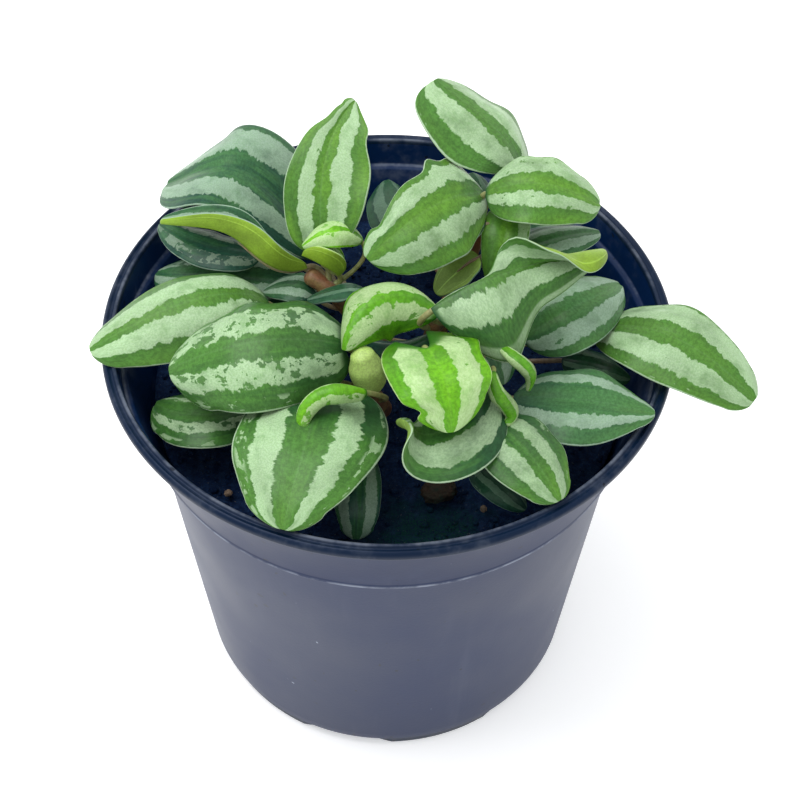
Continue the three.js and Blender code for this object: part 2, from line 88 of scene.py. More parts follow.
# The drain slots run from one radius to another. Each is narrower at its roof, by the taper.
DRAIN = dict(count=6, first_angle=-102, width=29, taper=0.38, height=3, inner=33, outer=54, rounding=1)

# The mix fills the pot from its floor up to a surface of so many rings.
SOIL = dict(
    bottom=4.75, bottom_radius=37.9, shoulder=69, shoulder_radius=44.3, edge_height=72, edge_radius=45.6,
    top=74, rings=56, sides=220,
)
ALGAE = (8, -39, 74)  # the middle of a green patch on the mix
CRUMB_SEED = 21

# Each shoot's centre line from the soil up to its growing point, and its radius at both ends.
STEMS = {
    "left": dict(line=((-4, 2, 76), (-6, 3, 88), (-15, 6.6, 96)), radius=(2.1, 1.7)),
    "back": dict(line=((9, 10, 76), (14, 13, 90), (17, 15, 102)), radius=(2.1, 1.5)),
    "middle": dict(line=((6, 0, 76), (8, -3, 87), (8, -6, 98)), radius=(2.1, 1.5)),
    "front": dict(line=((-1, -9, 76), (-2, -14, 84), (-3, -16, 91)), radius=(2, 1.4)),
    "right": dict(line=((12, -13, 76), (16, -17, 84), (17, -19, 92)), radius=(2, 1.4)),
}
SHOOT = dict(steps=24, sides=20)
BUD = dict(
    line=((-3, -16, 91), (-3.4, -17.2, 95), (-4.6, -16.8, 100.5)), radius=(1.6, 3.2, 3.3, 2.2),
    steps=16, sides=24,
)

# stem, at: the shoot that the leaf grows from, and the height where its stalk leaves it.
# age: 0 for the youngest, palest leaves up to 3 for the oldest, darkest ones, whose darkness is partly age
# and partly painted shade for the low leaves that lie in shadow.
# width: the widest breadth; wide: where along the rib that is, from 0 at the base to 1 at the tip.
# blunt: how round the base and the tip are, lower being blunter; lobe: how far the two base lobes reach back.
# rib: points that the midrib passes through, from the leaf's base to its tip.
# left, right: the blade's halves, seen from above with the tip ahead, as (rise, curl). Rise is the angle
# that a half stands up by at the rib, and curl how far it bends on to its margin, upwards if positive.
# roll: turn of the whole blade about its rib, right side up; skew: extra breadth of the right half.
# notch: (side, place along the rib, depth as a share of the breadth, length along the rib).
# bands: for the left half and the right half, the inner and the outer edge of the silver band as shares
# of the half breadth, and how much silver is flecked beyond it.
# tone: how limy the green is, how dark it is, which is partly painted shade on leaves that lie in shadow, and
# how broken the silver. A list runs from base to tip.
# under: another age's underside, for a leaf that shows it. tip: radius that the tip is rounded to.
LEAVES = {
    "back_left": dict(
        stem="left", at=87, age=2, width=25, wide=0.42, blunt=(0.35, 0.35), roll=(5,),
        skew=(0.2, 0.1, -0.1), rib=((-13, 18, 91), (-26, 25, 103), (-34, 26, 105), (-44, 29, 98)),
        left=((5,), (-5,)), right=((5,), (-25,)), bands=((0.3, 0.72, 0.1), (0.3, 0.85, 0)),
        tone=(0, 0, 0.15),
    ),
    "upright": dict(
        stem="left", at=93, age=1, width=16.5, wide=0.42, blunt=(0.5, 0.75), skew=(0, 0.12, 0.2, 0.35),
        rib=((-12, 9, 100), (-13, 15, 107), (-11.5, 23, 114), (-6.7, 29, 120)), left=((8,), (0,)),
        right=((8,), (0,)), bands=((0.2, 0.62, 0), (0.2, 0.64, 0)), tone=(0.9, 0.1, 0.1), tip=1.6,
        notch=((-1, 0.82, 0.25, 0.06), (1, 0.93, -0.5, 0.1)),
    ),
    "young_curl": dict(
        stem="left", at=92, age=0, width=9,
        rib=((-9.6, 5.6, 97.5), (-12.5, 5.6, 100), (-16.2, 7.2, 101)), left=((85,), (20,)),
        right=((40,), (10,)), bands=((0.2, 0.8, 0), (0.2, 0.9, 0)), tone=(1, 0, 0),
    ),
    "young_tip": dict(
        stem="left", at=93, age=0, width=7,
        rib=((-5.2, 9.8, 102), (-8.3, 9.5, 105), (-12, 8.3, 105.5), (-16.1, 7.6, 102.5)),
        left=((-5,), (-60,)), right=((10,), (-40,)), bands=((0.1, 0.85, 0), (0.15, 0.85, 0)),
        tone=(1, 0, 0.6),
    ),
    "left_boat": dict(
        stem="left", at=92, age=2, width=10.5, skew=(-0.1, -0.1, 0.1, 0.2),
        rib=((-15.5, 6.9, 98), (-22.7, 5.5, 100), (-27.9, 8.2, 103), (-33.5, 10.6, 104), (-43.5, 14.3, 102)),
        left=((100, 96, 92, 88), (10,)), right=((10, 15, 35, 40), (15,)), under="young",
        bands=((0.3, 0.75, 0.5), (0.3, 0.7, 0)), tone=(0, 0.1, 0.2),
    ),
    "left_back": dict(
        stem="left", at=86, age=2, width=10, rib=((-25, 13, 95), (-35, 14, 96), (-45, 22, 94)),
        bands=((0.3, 0.8, 0.3), (0.35, 0.75, 0.6)), tone=(0, 0.6, 0.9),
    ),
    "left_lower": dict(
        stem="left", at=84, age=2, width=16, blunt=(0.5, 0.4),
        rib=((-17, 12, 88), (-31, 12, 90), (-46, 16, 86)), bands=((0.25, 0.7, 1), (0.28, 0.7, 0.6)),
        tone=(0, 0.3, 0.5),
    ),
    "left_rim": dict(
        stem="left", at=81, age=1, width=20, wide=0.5, blunt=(0.26, 0.45), roll=(10,), skew=(-0.1,),
        rib=((-23, 3, 92), (-35, -3, 99), (-55, -10, 92)), left=((-5,), (-25,)), right=((-5,), (-35,)),
        bands=((0.15, 0.6, 0), (0.16, 0.62, 0.3)), tone=(0.55, 0, 0.05), tip=3,
    ),
    "left_oval": dict(
        stem="front", at=89, age=1, width=25, wide=0.5, blunt=(0.34, 0.36), lobe=(3, 5), roll=(15,),
        rib=((-8, -14, 99), (-23, -19, 105), (-39, -18, 96)), left=((-5,), (-35,)),
        right=((-5,), (-45,)), bands=((0.26, 0.64, 0.9), (0.16, 0.64, 0.5)),
        tone=(0.25, 0.12, (0.4, 0.9, 0.9, 0.7)), tip=5.5, notch=((1, 0.12, -0.25, 0.14),),
    ),
    "left_soil": dict(
        stem="front", at=79, age=1, width=14, rib=((-24, -17, 86), (-34, -21, 87), (-43, -15, 83)),
        bands=((0.3, 0.6, 1), (0.45, 0.6, 0.8)), tone=(0.2, 0.35, 0.7), tip=3,
    ),
    "front_large": dict(
        stem="front", at=86, age=1, width=27, wide=0.33, blunt=(0.42, 0.5), lobe=(3, 3),
        skew=(0, 0, 0.08, 0.22), rib=((-11, -21, 95), (-14, -37, 97), (-17, -50, 92)),
        bands=((0.3, 0.64, 0.9), (0.32, 0.72, 1.1)), tone=((0, 0.3, 0.5), (0.3, 0, 0), 0.1), tip=4,
    ),
    "front_twist": dict(
        stem="front", at=84, age=0, width=9,
        rib=((-3.6, -25.3, 99.5), (-7.5, -26.3, 101.6), (-11.5, -27.4, 101.6), (-14.6, -29.4, 99.6),
             (-14.6, -31.5, 96.5)),
        left=((-20,), (-150,)), right=((-20,), (-150,)), blunt=(0.35, 0.3),
        bands=((0.2, 0.8, 0), (0.1, 0.9, 0)), tone=(0.7, 0.3, 0.7),
    ),
    "front_low": dict(
        stem="front", at=80, age=2, width=9, blunt=(0.5, 0.35),
        rib=((-6, -22, 84), (-5, -36, 85), (-5, -42, 79)), bands=((0.3, 0.8, 0), (0.3, 0.8, 0)),
        tone=(0, 0.4, 0.3), tip=2,
    ),
    "centre_curl": dict(
        stem="middle", at=98, age=0, width=17,
        rib=((9.4, -9.5, 102.5), (2, -8, 106), (-4.5, -11.5, 105.5), (-7.5, -16.5, 100.5)),
        left=((-45,), (-60,)), right=((-5,), (-40,)), skew=(-0.1,), under="mature",
        bands=((0.1, 0.5, 0), (0.1, 0.7, 0)), tone=(0.6, 0.4, 0.6),
    ),
    "centre_under": dict(
        stem="middle", at=87, age=2, width=7, rib=((-5, -5, 90), (1, -10, 93), (9, -7, 95)),
        bands=((0.5, 0.7, 0), (1.2, 1.3, 0)), tone=(0, 0.5, 0.4),
    ),
    "heart": dict(
        stem="right", at=90, age=0, width=18.5, wide=0.4, blunt=(0.35, 0.42), lobe=(13, 10),
        rib=((7, -22, 107), (10, -31, 109), (11, -36, 102)), left=((0,), (-30,)), right=((0,), (-30,)),
        bands=((0.22, 0.72, 0), (0.24, 0.7, 0)), tone=(0.8, 0.15, 0.3), tip=3.5,
        notch=((1, 0.8, 0.4, 0.05), (-1, 0.1, -0.4, 0.14)),
    ),
    "hook": dict(
        stem="right", at=90, age=1, width=19, blunt=(0.5, 0.35),
        rib=((18.1, -24, 98), (12.5, -31.7, 99), (6.8, -34.2, 98.5), (3.5, -32.5, 101)),
        skew=(0, 0, 0, -0.2), left=((-5,), (-20,)), right=((-5,), (-10,)),
        bands=((0.25, 0.72, 0), (0.25, 0.7, 0)), tone=((0, 0, 0.2, 0.9), 0.35, 0), tip=1,
    ),
    "front_right": dict(
        stem="right", at=85, age=1, width=15, blunt=(0.5, 0.45),
        rib=((17, -27, 95), (24, -35, 96), (30, -43, 92)), bands=((0.22, 0.6, 0.6), (0.2, 0.62, 0)),
        tone=((0, 0.2, 0.8), 0.35, 0.2), tip=2.5,
    ),
    "right_pointed": dict(
        stem="right", at=84, age=2, width=19, wide=0.45, blunt=(0.5, 0.75),
        rib=((23, -19, 91), (35, -22, 94), (48, -24, 93)), bands=((0.4, 0.72, 0), (0.35, 0.66, 0)),
        tone=((0.3, 0.3, 0.6), (0.35, 0.15, 0), 0.15), tip=2,
    ),
    "sliver_low": dict(
        stem="right", at=91, age=0, width=5,
        rib=((18.8, -22.3, 102), (19.9, -27.9, 102), (21.9, -28.9, 99), (20.8, -30, 97)),
        left=((0,), (-110,)), right=((0,), (-110,)), bands=((0.2, 0.7, 0), (0.4, 0.8, 0)),
        tone=(0.5, (0, 0.7, 0.5), 0.2),
    ),
    "sliver_high": dict(
        stem="right", at=90, age=0, width=4,
        rib=((19.5, -15.4, 102), (23.4, -20.3, 103), (25.6, -21.8, 101), (25.1, -22.3, 97)),
        left=((0,), (-110,)), right=((0,), (-110,)), bands=((0.2, 0.6, 0), (0.3, 0.8, 0)),
        tone=(0.6, (0, 0.7, 0.7), 0.2),
    ),
    "right_rim": dict(
        stem="middle", at=85, age=1, width=19, wide=0.5, blunt=(0.5, 0.42), roll=(-5,),
        rib=((39, -1, 90), (52, -9, 97), (67, -18, 90)), bands=((0.26, 0.92, 0), (0.24, 0.7, 0.6)),
        tone=(0.5, -0.1, 0.1), tip=3,
    ),
    "right_broad": dict(
        stem="middle", at=87, age=2, width=16, roll=(-10,),
        rib=((25, -5, 92), (34, -3, 98), (44, 8, 93)), bands=((0.3, 0.8, 0), (0.3, 0.74, 0)),
        tone=(0.5, 0, 0.35), tip=2.5,
    ),
    "centre_right": dict(
        stem="middle", at=95, age=1, width=17, roll=(-10,), skew=(0.9, 0.95, 0, -0.3),
        rib=((7.8, -11.3, 105.7), (21, -6, 110), (39, 2, 108)),
        left=((-8, -12, -20, -20, 65, 110, 110), (-20, -20, -20, 0, 90, 85, 80)),
        right=((0,), (-62, -58, -50)), under="young", bands=((0.3, 0.75, 0), (0.1, 0.5, 2.6)),
        tone=(0.4, 0.3, 0.1), tip=2, notch=((-1, 0.88, -0.3, 0.1),),
    ),
    "right_back": dict(stem="back", at=94, age=2, width=9, rib=((22, 10, 98), (31, 12, 101), (40, 16, 99))),
    "right_shade": dict(stem="back", at=89, age=3, width=11, rib=((22, 13, 96), (28, 15, 97), (35, 20, 95))),
    "back_top": dict(
        stem="back", at=98, age=1, width=25, wide=0.55, blunt=(0.5, 0.33), skew=(0, 0, -0.08, -0.12),
        rib=((25, 25, 105), (22, 29, 110), (16, 33, 114), (8, 39, 117)), left=((10,), (-10,)),
        right=((-25,), (-10,)), bands=((0.15, 0.62, 0.5), (0.22, 0.8, 0)), tone=(0.4, -0.1, 0.1),
        tip=3,
    ),
    "top_right": dict(
        stem="back", at=101, age=1, width=16.5, blunt=(0.42, 0.42), roll=(-10,),
        rib=((18, 16, 109), (28, 14, 113), (39, 14, 108)), bands=((0.3, 0.95, 0), (0.24, 0.6, 0)),
        tone=(0.8, -0.1, 0.45), tip=3,
    ),
    "top_centre": dict(
        stem="back", at=101, age=1, width=18, blunt=(0.42, 0.5), roll=(25,), skew=(0.1, -0.2, -0.55),
        rib=((17.5, 17.5, 107), (8, 9, 112), (-4, 1, 106)), bands=((0.3, 0.68, 0), (0.3, 0.8, 0)),
        tone=(0.8, 0.25, 0.15), tip=3.5, notch=((1, 0.3, -0.3, 0.05), (1, 0.1, -0.3, 0.1)),
    ),
    "back_dark": dict(stem="back", at=87, age=3, width=12, rib=((4, 22, 91), (1, 29, 92), (-1, 42, 88))),
    "back_small": dict(stem="back", at=89, age=3, width=7, rib=((18, 27, 95), (17, 31, 96), (16, 36, 96))),
    "inner_olive": dict(
        stem="back", at=92, age=3, width=8, roll=(180,), rib=((17, 8, 100), (13, 6, 98), (9, 3, 95)),
        under="fresh",
    ),
    "inner_left": dict(stem="left", at=88, age=2, width=8, rib=((-14, 5, 92), (-18, 6, 94), (-24, 7, 91))),
    "inner_arc": dict(
        stem="left", at=88, age=3, width=9, roll=(-30,), rib=((-5, 2, 97), (-9, 1, 98), (-15, 1, 95)),
    ),
    "inner_grey": dict(stem="back", at=99, age=2, width=5.5, rib=((18, 12, 105), (14, 11, 104), (9, 7, 101))),
    "right_soil": dict(stem="middle", at=80, age=3, width=9, rib=((33, -5, 86), (39, -6, 86), (46, -6, 82))),
    "front_right_low": dict(
        stem="right", at=80, age=3, width=8, rib=((16, -30, 86), (20, -35, 87), (25, -38, 83)),
    ),
    "inner_striped": dict(
        stem="middle", at=90, age=2, width=15, rib=((14, -6, 97), (18, -10, 95), (21, -15, 90)),
    ),
    "inner_hanging": dict(
        stem="back", at=97, age=1, width=9, rib=((22.3, 16.5, 104), (21.6, 9.9, 104), (20.3, 4.5, 96)),
        blunt=(0.22, 0.3), left=((5,), (-10,)), right=((5,), (-10,)),
        bands=((0.5, 0.95, 0), (1.2, 1.3, 0)), tone=(0.9, 0.1, 0.4),
    ),
    "rear_left": dict(stem="left", at=82, age=2, width=13, rib=((-14, 20, 88), (-20, 29, 90), (-25, 38, 86))),
    "rear_middle": dict(stem="back", at=84, age=2, width=13, rib=((12, 22, 86), (12, 32, 88), (12, 42, 85))),
    "rear_right": dict(stem="back", at=85, age=2, width=13, rib=((24, 17, 87), (31, 24, 89), (37, 30, 86))),
}

# Bark and grit that lie on the mix: length, breadth and height, and the turn about the upright.
GRAINS = {
    "bark_front": dict(size=(7, 5, 3), turn=20, slot="bark"),
    "grit_left_pale": dict(size=(2.2, 1.8, 1.6), turn=10, slot="grit"),
    "grit_left_brown": dict(size=(3.4, 2.8, 2.2), turn=60, slot="grit"),
    "grit_front_left": dict(size=(1.8, 1.5, 1.4), turn=30, slot="grit"),
    "grit_front_right": dict(size=(1.6, 1.4, 1.2), turn=80, slot="grit"),
}

AGES = ("young", "fresh", "mature", "old")
PLAIN_HALF = ((0,), (-20,))
BLADE_GRID = (24, 34)  # faces across a blade and along it
SMALL_GRID = (14, 22)
SMALL_WIDTH = 9  # a blade narrower than this has the small grid, and is thinner
STALK = dict(steps=9, steps_under_blade=7, step=0.075, sides=10)  # step: a share of the midrib
VEIN_PLACE = 0.78  # the side veins' place, as a share of the half breadth
LEAF_SEED = 1000
PATTERN_STEP = 7.3  # distance between the patterns of two leaves

DAYLIGHT = (0.98, 0.99, 1)
FLOOR_REACH = 3000
KEY_LIGHT = dict(place=(-200, 20, 600), target=(0, 0, 80), size=400)
CAMERA = dict(target=(2.4, 0, 67.9), distance=334.8, elevation=49.5, roll=0.86, lens=75.56)


# ------------------------------------------------------------------ settings


def length_setting(name, description, default):
    """A length that the panel shows, stored in metres."""
    return bpy.props.FloatProperty(
        name=name, description=description, default=default * MM, unit="LENGTH", precision=5, min=0
    )


def colour_setting(name, description, default):
    """A linear colour that the panel shows."""
    return bpy.props.FloatVectorProperty(
        name=name, description=description, default=default, subtype="COLOR", size=3, min=0, max=1
    )


def share_setting(name, description, default):
    """A share from 0 to 1 that the panel shows."""
    return bpy.props.FloatProperty(
        name=name, description=description, default=default, subtype="FACTOR", min=0, max=1
    )


def amount_setting(name, description, default):
    """An amount of 0 or more that the panel shows."""
    return bpy.props.FloatProperty(name=name, description=description, default=default, min=0)


class LeafSettings(bpy.types.PropertyGroup):
    """Sizes and colours of the leaves."""

    thickness: length_setting("Thickness", "Thickness of a blade at its midrib", 1.1)
    margin: length_setting("Margin", "Thickness of a blade at its margin", 0.45)
    stalk: length_setting("Stalk radius", "Radius of a leaf's stalk", 0.65)
    groove: length_setting("Vein groove", "Depth of the grooves over the veins", 0.14)
    puff: length_setting("Puff", "Height of the swelling between two veins", 0.36)
    wave: length_setting("Wave", "Height of the waves along the margin", 0.45)
    young_green: colour_setting("Young green", "Green of the youngest leaves", (0.085, 0.3, 0.012))
    fresh_green: colour_setting("Fresh green", "Green of the fresh leaves", (0.06, 0.18, 0.032))
    mature_green: colour_setting("Mature green", "Green of the mature leaves", (0.05, 0.155, 0.052))
    # The oldest leaves' green and silver are darker with age and also hold painted shade for the low leaves
    # that lie in shadow.
    old_green: colour_setting("Old green", "Green of the oldest leaves", (0.02, 0.08, 0.04))
    young_silver: colour_setting("Young silver", "Bands of the youngest leaves", (0.44, 0.62, 0.29))
    fresh_silver: colour_setting("Fresh silver", "Bands of the fresh leaves", (0.35, 0.51, 0.29))
    mature_silver: colour_setting("Mature silver", "Bands of the mature leaves", (0.26, 0.38, 0.27))
    old_silver: colour_setting("Old silver", "Bands of the oldest leaves", (0.11, 0.2, 0.13))
    lime: colour_setting("Lime", "Underside of the youngest leaves", (0.24, 0.4, 0.03))


class PlantSettings(bpy.types.PropertyGroup):
    """Colours of the shoots and the bud."""

    shoot: colour_setting("Shoot", "Reddish brown of the shoots", (0.24, 0.085, 0.045))
    shoot_tip: colour_setting("Shoot tip", "Green of the shoots' growing points", (0.2, 0.3, 0.08))
    bud: colour_setting("Bud", "Pale green of the bud", (0.46, 0.64, 0.17))


class PotSettings(bpy.types.PropertyGroup):
    """Colours and roughness of the pot."""

    plastic: colour_setting("Plastic", "Dark blue-grey of the outside", (0.0058, 0.0132, 0.05))
    rim: colour_setting("Rim", "Darker blue-grey of the rim", (0.002, 0.01, 0.03))
    inside: colour_setting("Inside", "Navy of the inside", (0.001, 0.016, 0.07))
    dust: colour_setting("Dust", "Pale specks on the plastic", (0.5, 0.55, 0.64))
    roughness: share_setting("Roughness", "Roughness of the plastic", 0.42)


class SoilSettings(bpy.types.PropertyGroup):
    """Colours of the potting mix, the bark and the grit, and how many crumbs lie on the mix."""

    mix: colour_setting("Mix", "Nearly black colour of the damp mix", (0.001, 0.01, 0.045))
    crumb: colour_setting("Crumb", "Colour of the drier crumbs", (0.01, 0.03, 0.085))
    algae: colour_setting("Algae", "Dark green of the algae on the mix", (0.004, 0.04, 0.03))
    bark: colour_setting("Bark", "Brown of the bark", (0.065, 0.03, 0.016))
    grit: colour_setting("Grit", "Pale brown of the grit", (0.32, 0.22, 0.15))
    crumbs: bpy.props.IntProperty(
        name="Crumbs", description="Number of loose crumbs on the mix", default=900, min=0, max=3000
    )


class StageSettings(bpy.types.PropertyGroup):
    """Floor and light."""

    floor: colour_setting("Floor", "Colour of the floor", (0.94, 0.94, 0.94))
    glow: amount_setting("Glow", "Strength of the floor's own light, which softens its shadows", 0.35)
    sky: amount_setting("Sky", "Strength of the even light all round", 0.95)
    key: amount_setting("Key", "Power of the large light overhead, in watts", 2.2)


# ------------------------------------------------------------------ curves and meshes


def curve_at(points, t):
    """The point at t, from 0 to 1, of the smooth curve that passes through every given point."""
    spans = len(points) - 1
    result = Vector((0, 0, 0))
    for i, point in enumerate(points):
        weight = 1.0
        for j in range(spans + 1):
            if j != i:
                weight *= (t * spans - j) / (i - j)
        result += Vector(point) * weight
    return result


def along(values, t):
    """A value that runs through the given list from t = 0 to t = 1."""
    if len(values) == 1:
        return values[0]
    place = min(max(t, 0), 1) * (len(values) - 1)
    i = min(int(place), len(values) - 2)
    share = place - i
    return values[i] + (values[i + 1] - values[i]) * share * share * (3 - 2 * share)


def bump_at(value, centre, width):
    """A bell curve, 1 at the centre."""
    return exp(-(((value - centre) / width) ** 2))


def add_object(name, data):
    """A new object in the scene."""
    made = bpy.data.objects.new(name, data)
    bpy.context.scene.collection.objects.link(made)
    return made


def add_mesh(name, bm):
    """Turns a bmesh that is drawn in millimetres into an object."""
    bmesh.ops.scale(bm, vec=(MM, MM, MM), verts=bm.verts)
    mesh = bpy.data.meshes.new(name)
    bm.to_mesh(mesh)
    bm.free()
    return add_object(name, mesh)


def make_piece(name, bm, materials, node):
    """A finished piece of the plant, which stands for its CAD node."""
    piece = add_mesh(name, bm)
    piece.data.shade_smooth()
    for material in materials:
        piece.data.materials.append(material)
    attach(piece, "root")
    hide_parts(node)
    return piece


def subdivide(piece):
    """One level of live subdivision, the same in the view and in the render."""
    modifier = piece.modifiers.new("Smooth", "SUBSURF")
    modifier.levels = 1
    modifier.render_levels = 1


def parts(geometry, kind):
    """The verts, the edges or the faces in what an operator has made."""
    return [part for part in geometry if isinstance(part, kind)]


def heading_matrix(point, heading, across):
    """The transform that stands a ring drawn in the XY plane at a point, facing along the heading."""
    side = (across - heading * across.dot(heading)).normalized()
    up = heading.cross(side)
    matrix = Matrix((side, up, heading)).transposed().to_4x4()
    matrix.translation = point
    return matrix


def sweep(bm, points, radii, sides):
    """A closed tube along the points, made by extruding a ring from one to the next. Returns its rings."""
    across = Vector((0.31, 0.95, 0.02))
    stations = []
    for i, point in enumerate(points):
        heading = points[min(i + 1, len(points) - 1)] - points[max(i - 1, 0)]
        matrix = heading_matrix(point, heading.normalized(), across)
        across = matrix.to_3x3().col[0]
        stations.append(matrix @ Matrix.Diagonal((radii[i], radii[i], radii[i], 1)))
    ring = bmesh.ops.create_circle(bm, cap_ends=True, segments=sides, radius=1, matrix=stations[0])
    rings = [ring["verts"]]
    edges = list({e for v in rings[0] for e in v.link_edges})
    for before, after in zip(stations, stations[1:]):
        made = bmesh.ops.extrude_edge_only(bm, edges=edges)["geom"]
        verts = parts(made, bmesh.types.BMVert)
        edges = [e for e in parts(made, bmesh.types.BMEdge) if all(v in verts for v in e.verts)]
        bmesh.ops.transform(bm, matrix=after @ before.inverted(), verts=verts)
        rings.append(verts)
    bmesh.ops.contextual_create(bm, geom=edges)
    faces = list({f for ring in rings for v in ring for f in v.link_faces})
    bmesh.ops.recalc_face_normals(bm, faces=faces)
    return rings


# ------------------------------------------------------------------ leaves


class Blade:
    """The shape of one leaf's blade, in millimetres."""

    def __init__(self, row):
        self.row = row
        self.rib = [Vector(p) for p in row["rib"]]
        chord = self.rib[-1] - self.rib[0]
        self.flat_side = Vector((chord.y, -chord.x, 0)).normalized()
        self.length = chord.length

    def frame(self, t):
        """Centre, direction ahead, direction to the right and direction upwards at t along the rib."""
        step = 0.001
        ahead = (curve_at(self.rib, t + step) - curve_at(self.rib, t - step)).normalized()
        side = (self.flat_side - ahead * self.flat_side.dot(ahead)).normalized()
        up = side.cross(ahead)
        turn = Matrix.Rotation(-radians(along(self.row.get("roll", (0,)), t)), 3, ahead)
        return curve_at(self.rib, t), ahead, turn @ side, turn @ up

    def half_breadth(self, t, hand):
        """Breadth from the rib to the margin on the left (-1) or the right (1)."""
        row = self.row
        wide = row.get("wide", 0.45)
        blunt = row.get("blunt", (0.5, 0.5))[t >= wide]
        breadth = row["width"] / 2 * sin(pi * t ** (log(0.5) / log(wide))) ** blunt
        breadth *= 1 + hand * along(row.get("skew", (0,)), t)
        for side, place, depth, reach in row.get("notch", ()):
            if side == hand:
                breadth *= 1 - depth * bump_at(t, place, reach)
        left = (1 - t) * self.length
        rounding = row.get("tip", 0.09 * row["width"])
        if left < rounding:
            breadth = (breadth**3 + (2 * rounding * left - left * left) ** 1.5) ** (1 / 3)
        return breadth

    def point(self, framed, t, v, wave):
        """A point of the middle surface at v across, from -1 to 1, and the way its upper face looks."""
        centre, ahead, side, up = framed
        hand = -1 if v < 0 else 1
        rises, curls = self.row.get("left" if hand < 0 else "right", PLAIN_HALF)
        reach = abs(v)
        rise = radians(along(rises, t))
        curl = radians(along(curls, t)) or 0.001
        breadth = self.half_breadth(t, hand)
        out = breadth / curl * (sin(rise + curl * reach) - sin(rise))
        lift = breadth / curl * (cos(rise) - cos(rise + curl * reach))
        sweep_back = -self.row.get("lobe", (0, 0))[v > 0] * reach**1.4 * (1 - t) ** 3
        tilt = rise + curl * reach
        normal = up * cos(tilt) - side * (hand * sin(tilt))
        place = centre + side * (hand * out) + up * lift + ahead * sweep_back
        return place + normal * wave(t, hand, reach), normal


def margin_wave(seed, height):
    """Gentle waves that grow towards the margin, different on each leaf and on each side."""
    random = Random(seed)
    phases = {-1: random.uniform(0, 1), 1: random.uniform(0, 1)}
    counts = {-1: random.uniform(1.4, 2.6), 1: random.uniform(1.4, 2.6)}

    def wave(t, hand, reach):
        return height * reach**2 * sin(pi * t) * sin(2 * pi * (counts[hand] * t + phases[hand]))

    return wave


def relief(t, reach, groove, puff):
    """How far the upper face stands above the plain surface: grooves at the veins, swellings between."""
    ends = min(1, 5 * t, 5 * (1 - t))
    veins = bump_at(reach, 0, 0.07) + 0.45 * bump_at(reach, VEIN_PLACE, 0.06)
    swelling = sin(pi * min(reach / VEIN_PLACE, 1)) ** 2
    return ends * (puff * swelling - groove * veins * (1 - 0.5 * t))


def blade_place(y):
    """The place along the rib of a grid row, with rows closer together at the base and the tip."""
    return (1 - cos(pi * (0.035 + 0.93 * (y + 1) / 2))) / 2


def add_blade(bm, blade, settings, seed, layers):
    """The blade: a grid for the upper face, a turned copy for the lower, and a margin that joins them."""
    width = blade.row["width"]
    small = width < SMALL_WIDTH
    across, lengthways = SMALL_GRID if small else BLADE_GRID
    upper = bmesh.ops.create_grid(bm, x_segments=across, y_segments=lengthways, size=1)["verts"]
    copied = bmesh.ops.duplicate(bm, geom=upper + list(bm.edges) + list(bm.faces))["geom"]
    lower = parts(copied, bmesh.types.BMVert)
    lower_faces = parts(copied, bmesh.types.BMFace)
    bmesh.ops.reverse_faces(bm, faces=lower_faces)
    bmesh.ops.translate(bm, vec=(0, 0, -0.02), verts=lower)
    bmesh.ops.bridge_loops(bm, edges=[e for e in bm.edges if e.is_boundary])
    for face in lower_faces:
        face.material_index = 1
    thin, thick = settings.margin / MM, settings.thickness / MM * (0.7 if small else 1)
    groove, puff = settings.groove / MM, settings.puff / MM * min(1, width / 20)
    wave = margin_wave(seed, settings.wave / MM * min(1, width / 18))
    lower = set(lower)
    frames = {}
    for vert in bm.verts:
        v, t = vert.co.x, blade_place(vert.co.y)
        key = round(t, 5)
        if key not in frames:
            frames[key] = blade.frame(t)
        place, normal = blade.point(frames[key], t, v, wave)
        half = (thin + (thick - thin) * (1 - abs(v) ** 3)) / 2
        lift = -half if vert in lower else half + relief(t, abs(v), groove, puff)
        rumple = 0.22 * noise.noise(Vector((v * width / 9, t * blade.length / 7, seed)))
        vert.co = place + normal * (lift + rumple)
        vert[layers["place"]] = Vector((v, t, seed))
        vert[layers["spread"]] = Vector((v * width / 2, t * blade.length, PATTERN_STEP * seed))


def stalk_line(blade):
    """Points from the middle of the shoot out to the blade's base."""
    line = STEMS[blade.row["stem"]]["line"]
    foot, head = line[0][2], line[-1][2]
    joint = curve_at(line, min(max((blade.row["at"] - foot) / (head - foot), 0), 1))
    centre, ahead, _, _ = blade.frame(0)
    bend = centre - ahead * (0.45 * (centre - joint).length)
    shares = [i / (STALK["steps"] - 1) for i in range(STALK["steps"])]
    return [joint * (1 - s) ** 2 + bend * (2 * s * (1 - s)) + centre * s**2 for s in shares]


def add_stalk(bm, blade, settings, seed, layers):
    """The stalk, which tapers out under the blade as the raised midrib."""
    radius = settings.stalk / MM * min(1, 0.55 + blade.row["width"] / 40)
    points = stalk_line(blade)
    radii = [radius * (1.25 - 0.25 * min(1, i / 3)) for i in range(len(points))]
    sunk = settings.thickness / MM / 2
    for step in range(1, STALK["steps_under_blade"] + 1):
        centre, _, _, up = blade.frame(STALK["step"] * step)
        radii.append(radius * (1 - 0.11 * step))
        points.append(centre - up * (sunk * min(1, step / 2) - 0.12))
    before = set(bm.faces)
    rings = sweep(bm, points, radii, STALK["sides"])
    for i, ring in enumerate(rings):
        for vert in ring:
            vert[layers["place"]] = Vector((0, i / (len(rings) - 1), seed))
            vert[layers["spread"]] = Vector((0, (i - STALK["steps"]) * 1.5, PATTERN_STEP * seed))
    for face in set(bm.faces) - before:
        face.material_index = 2


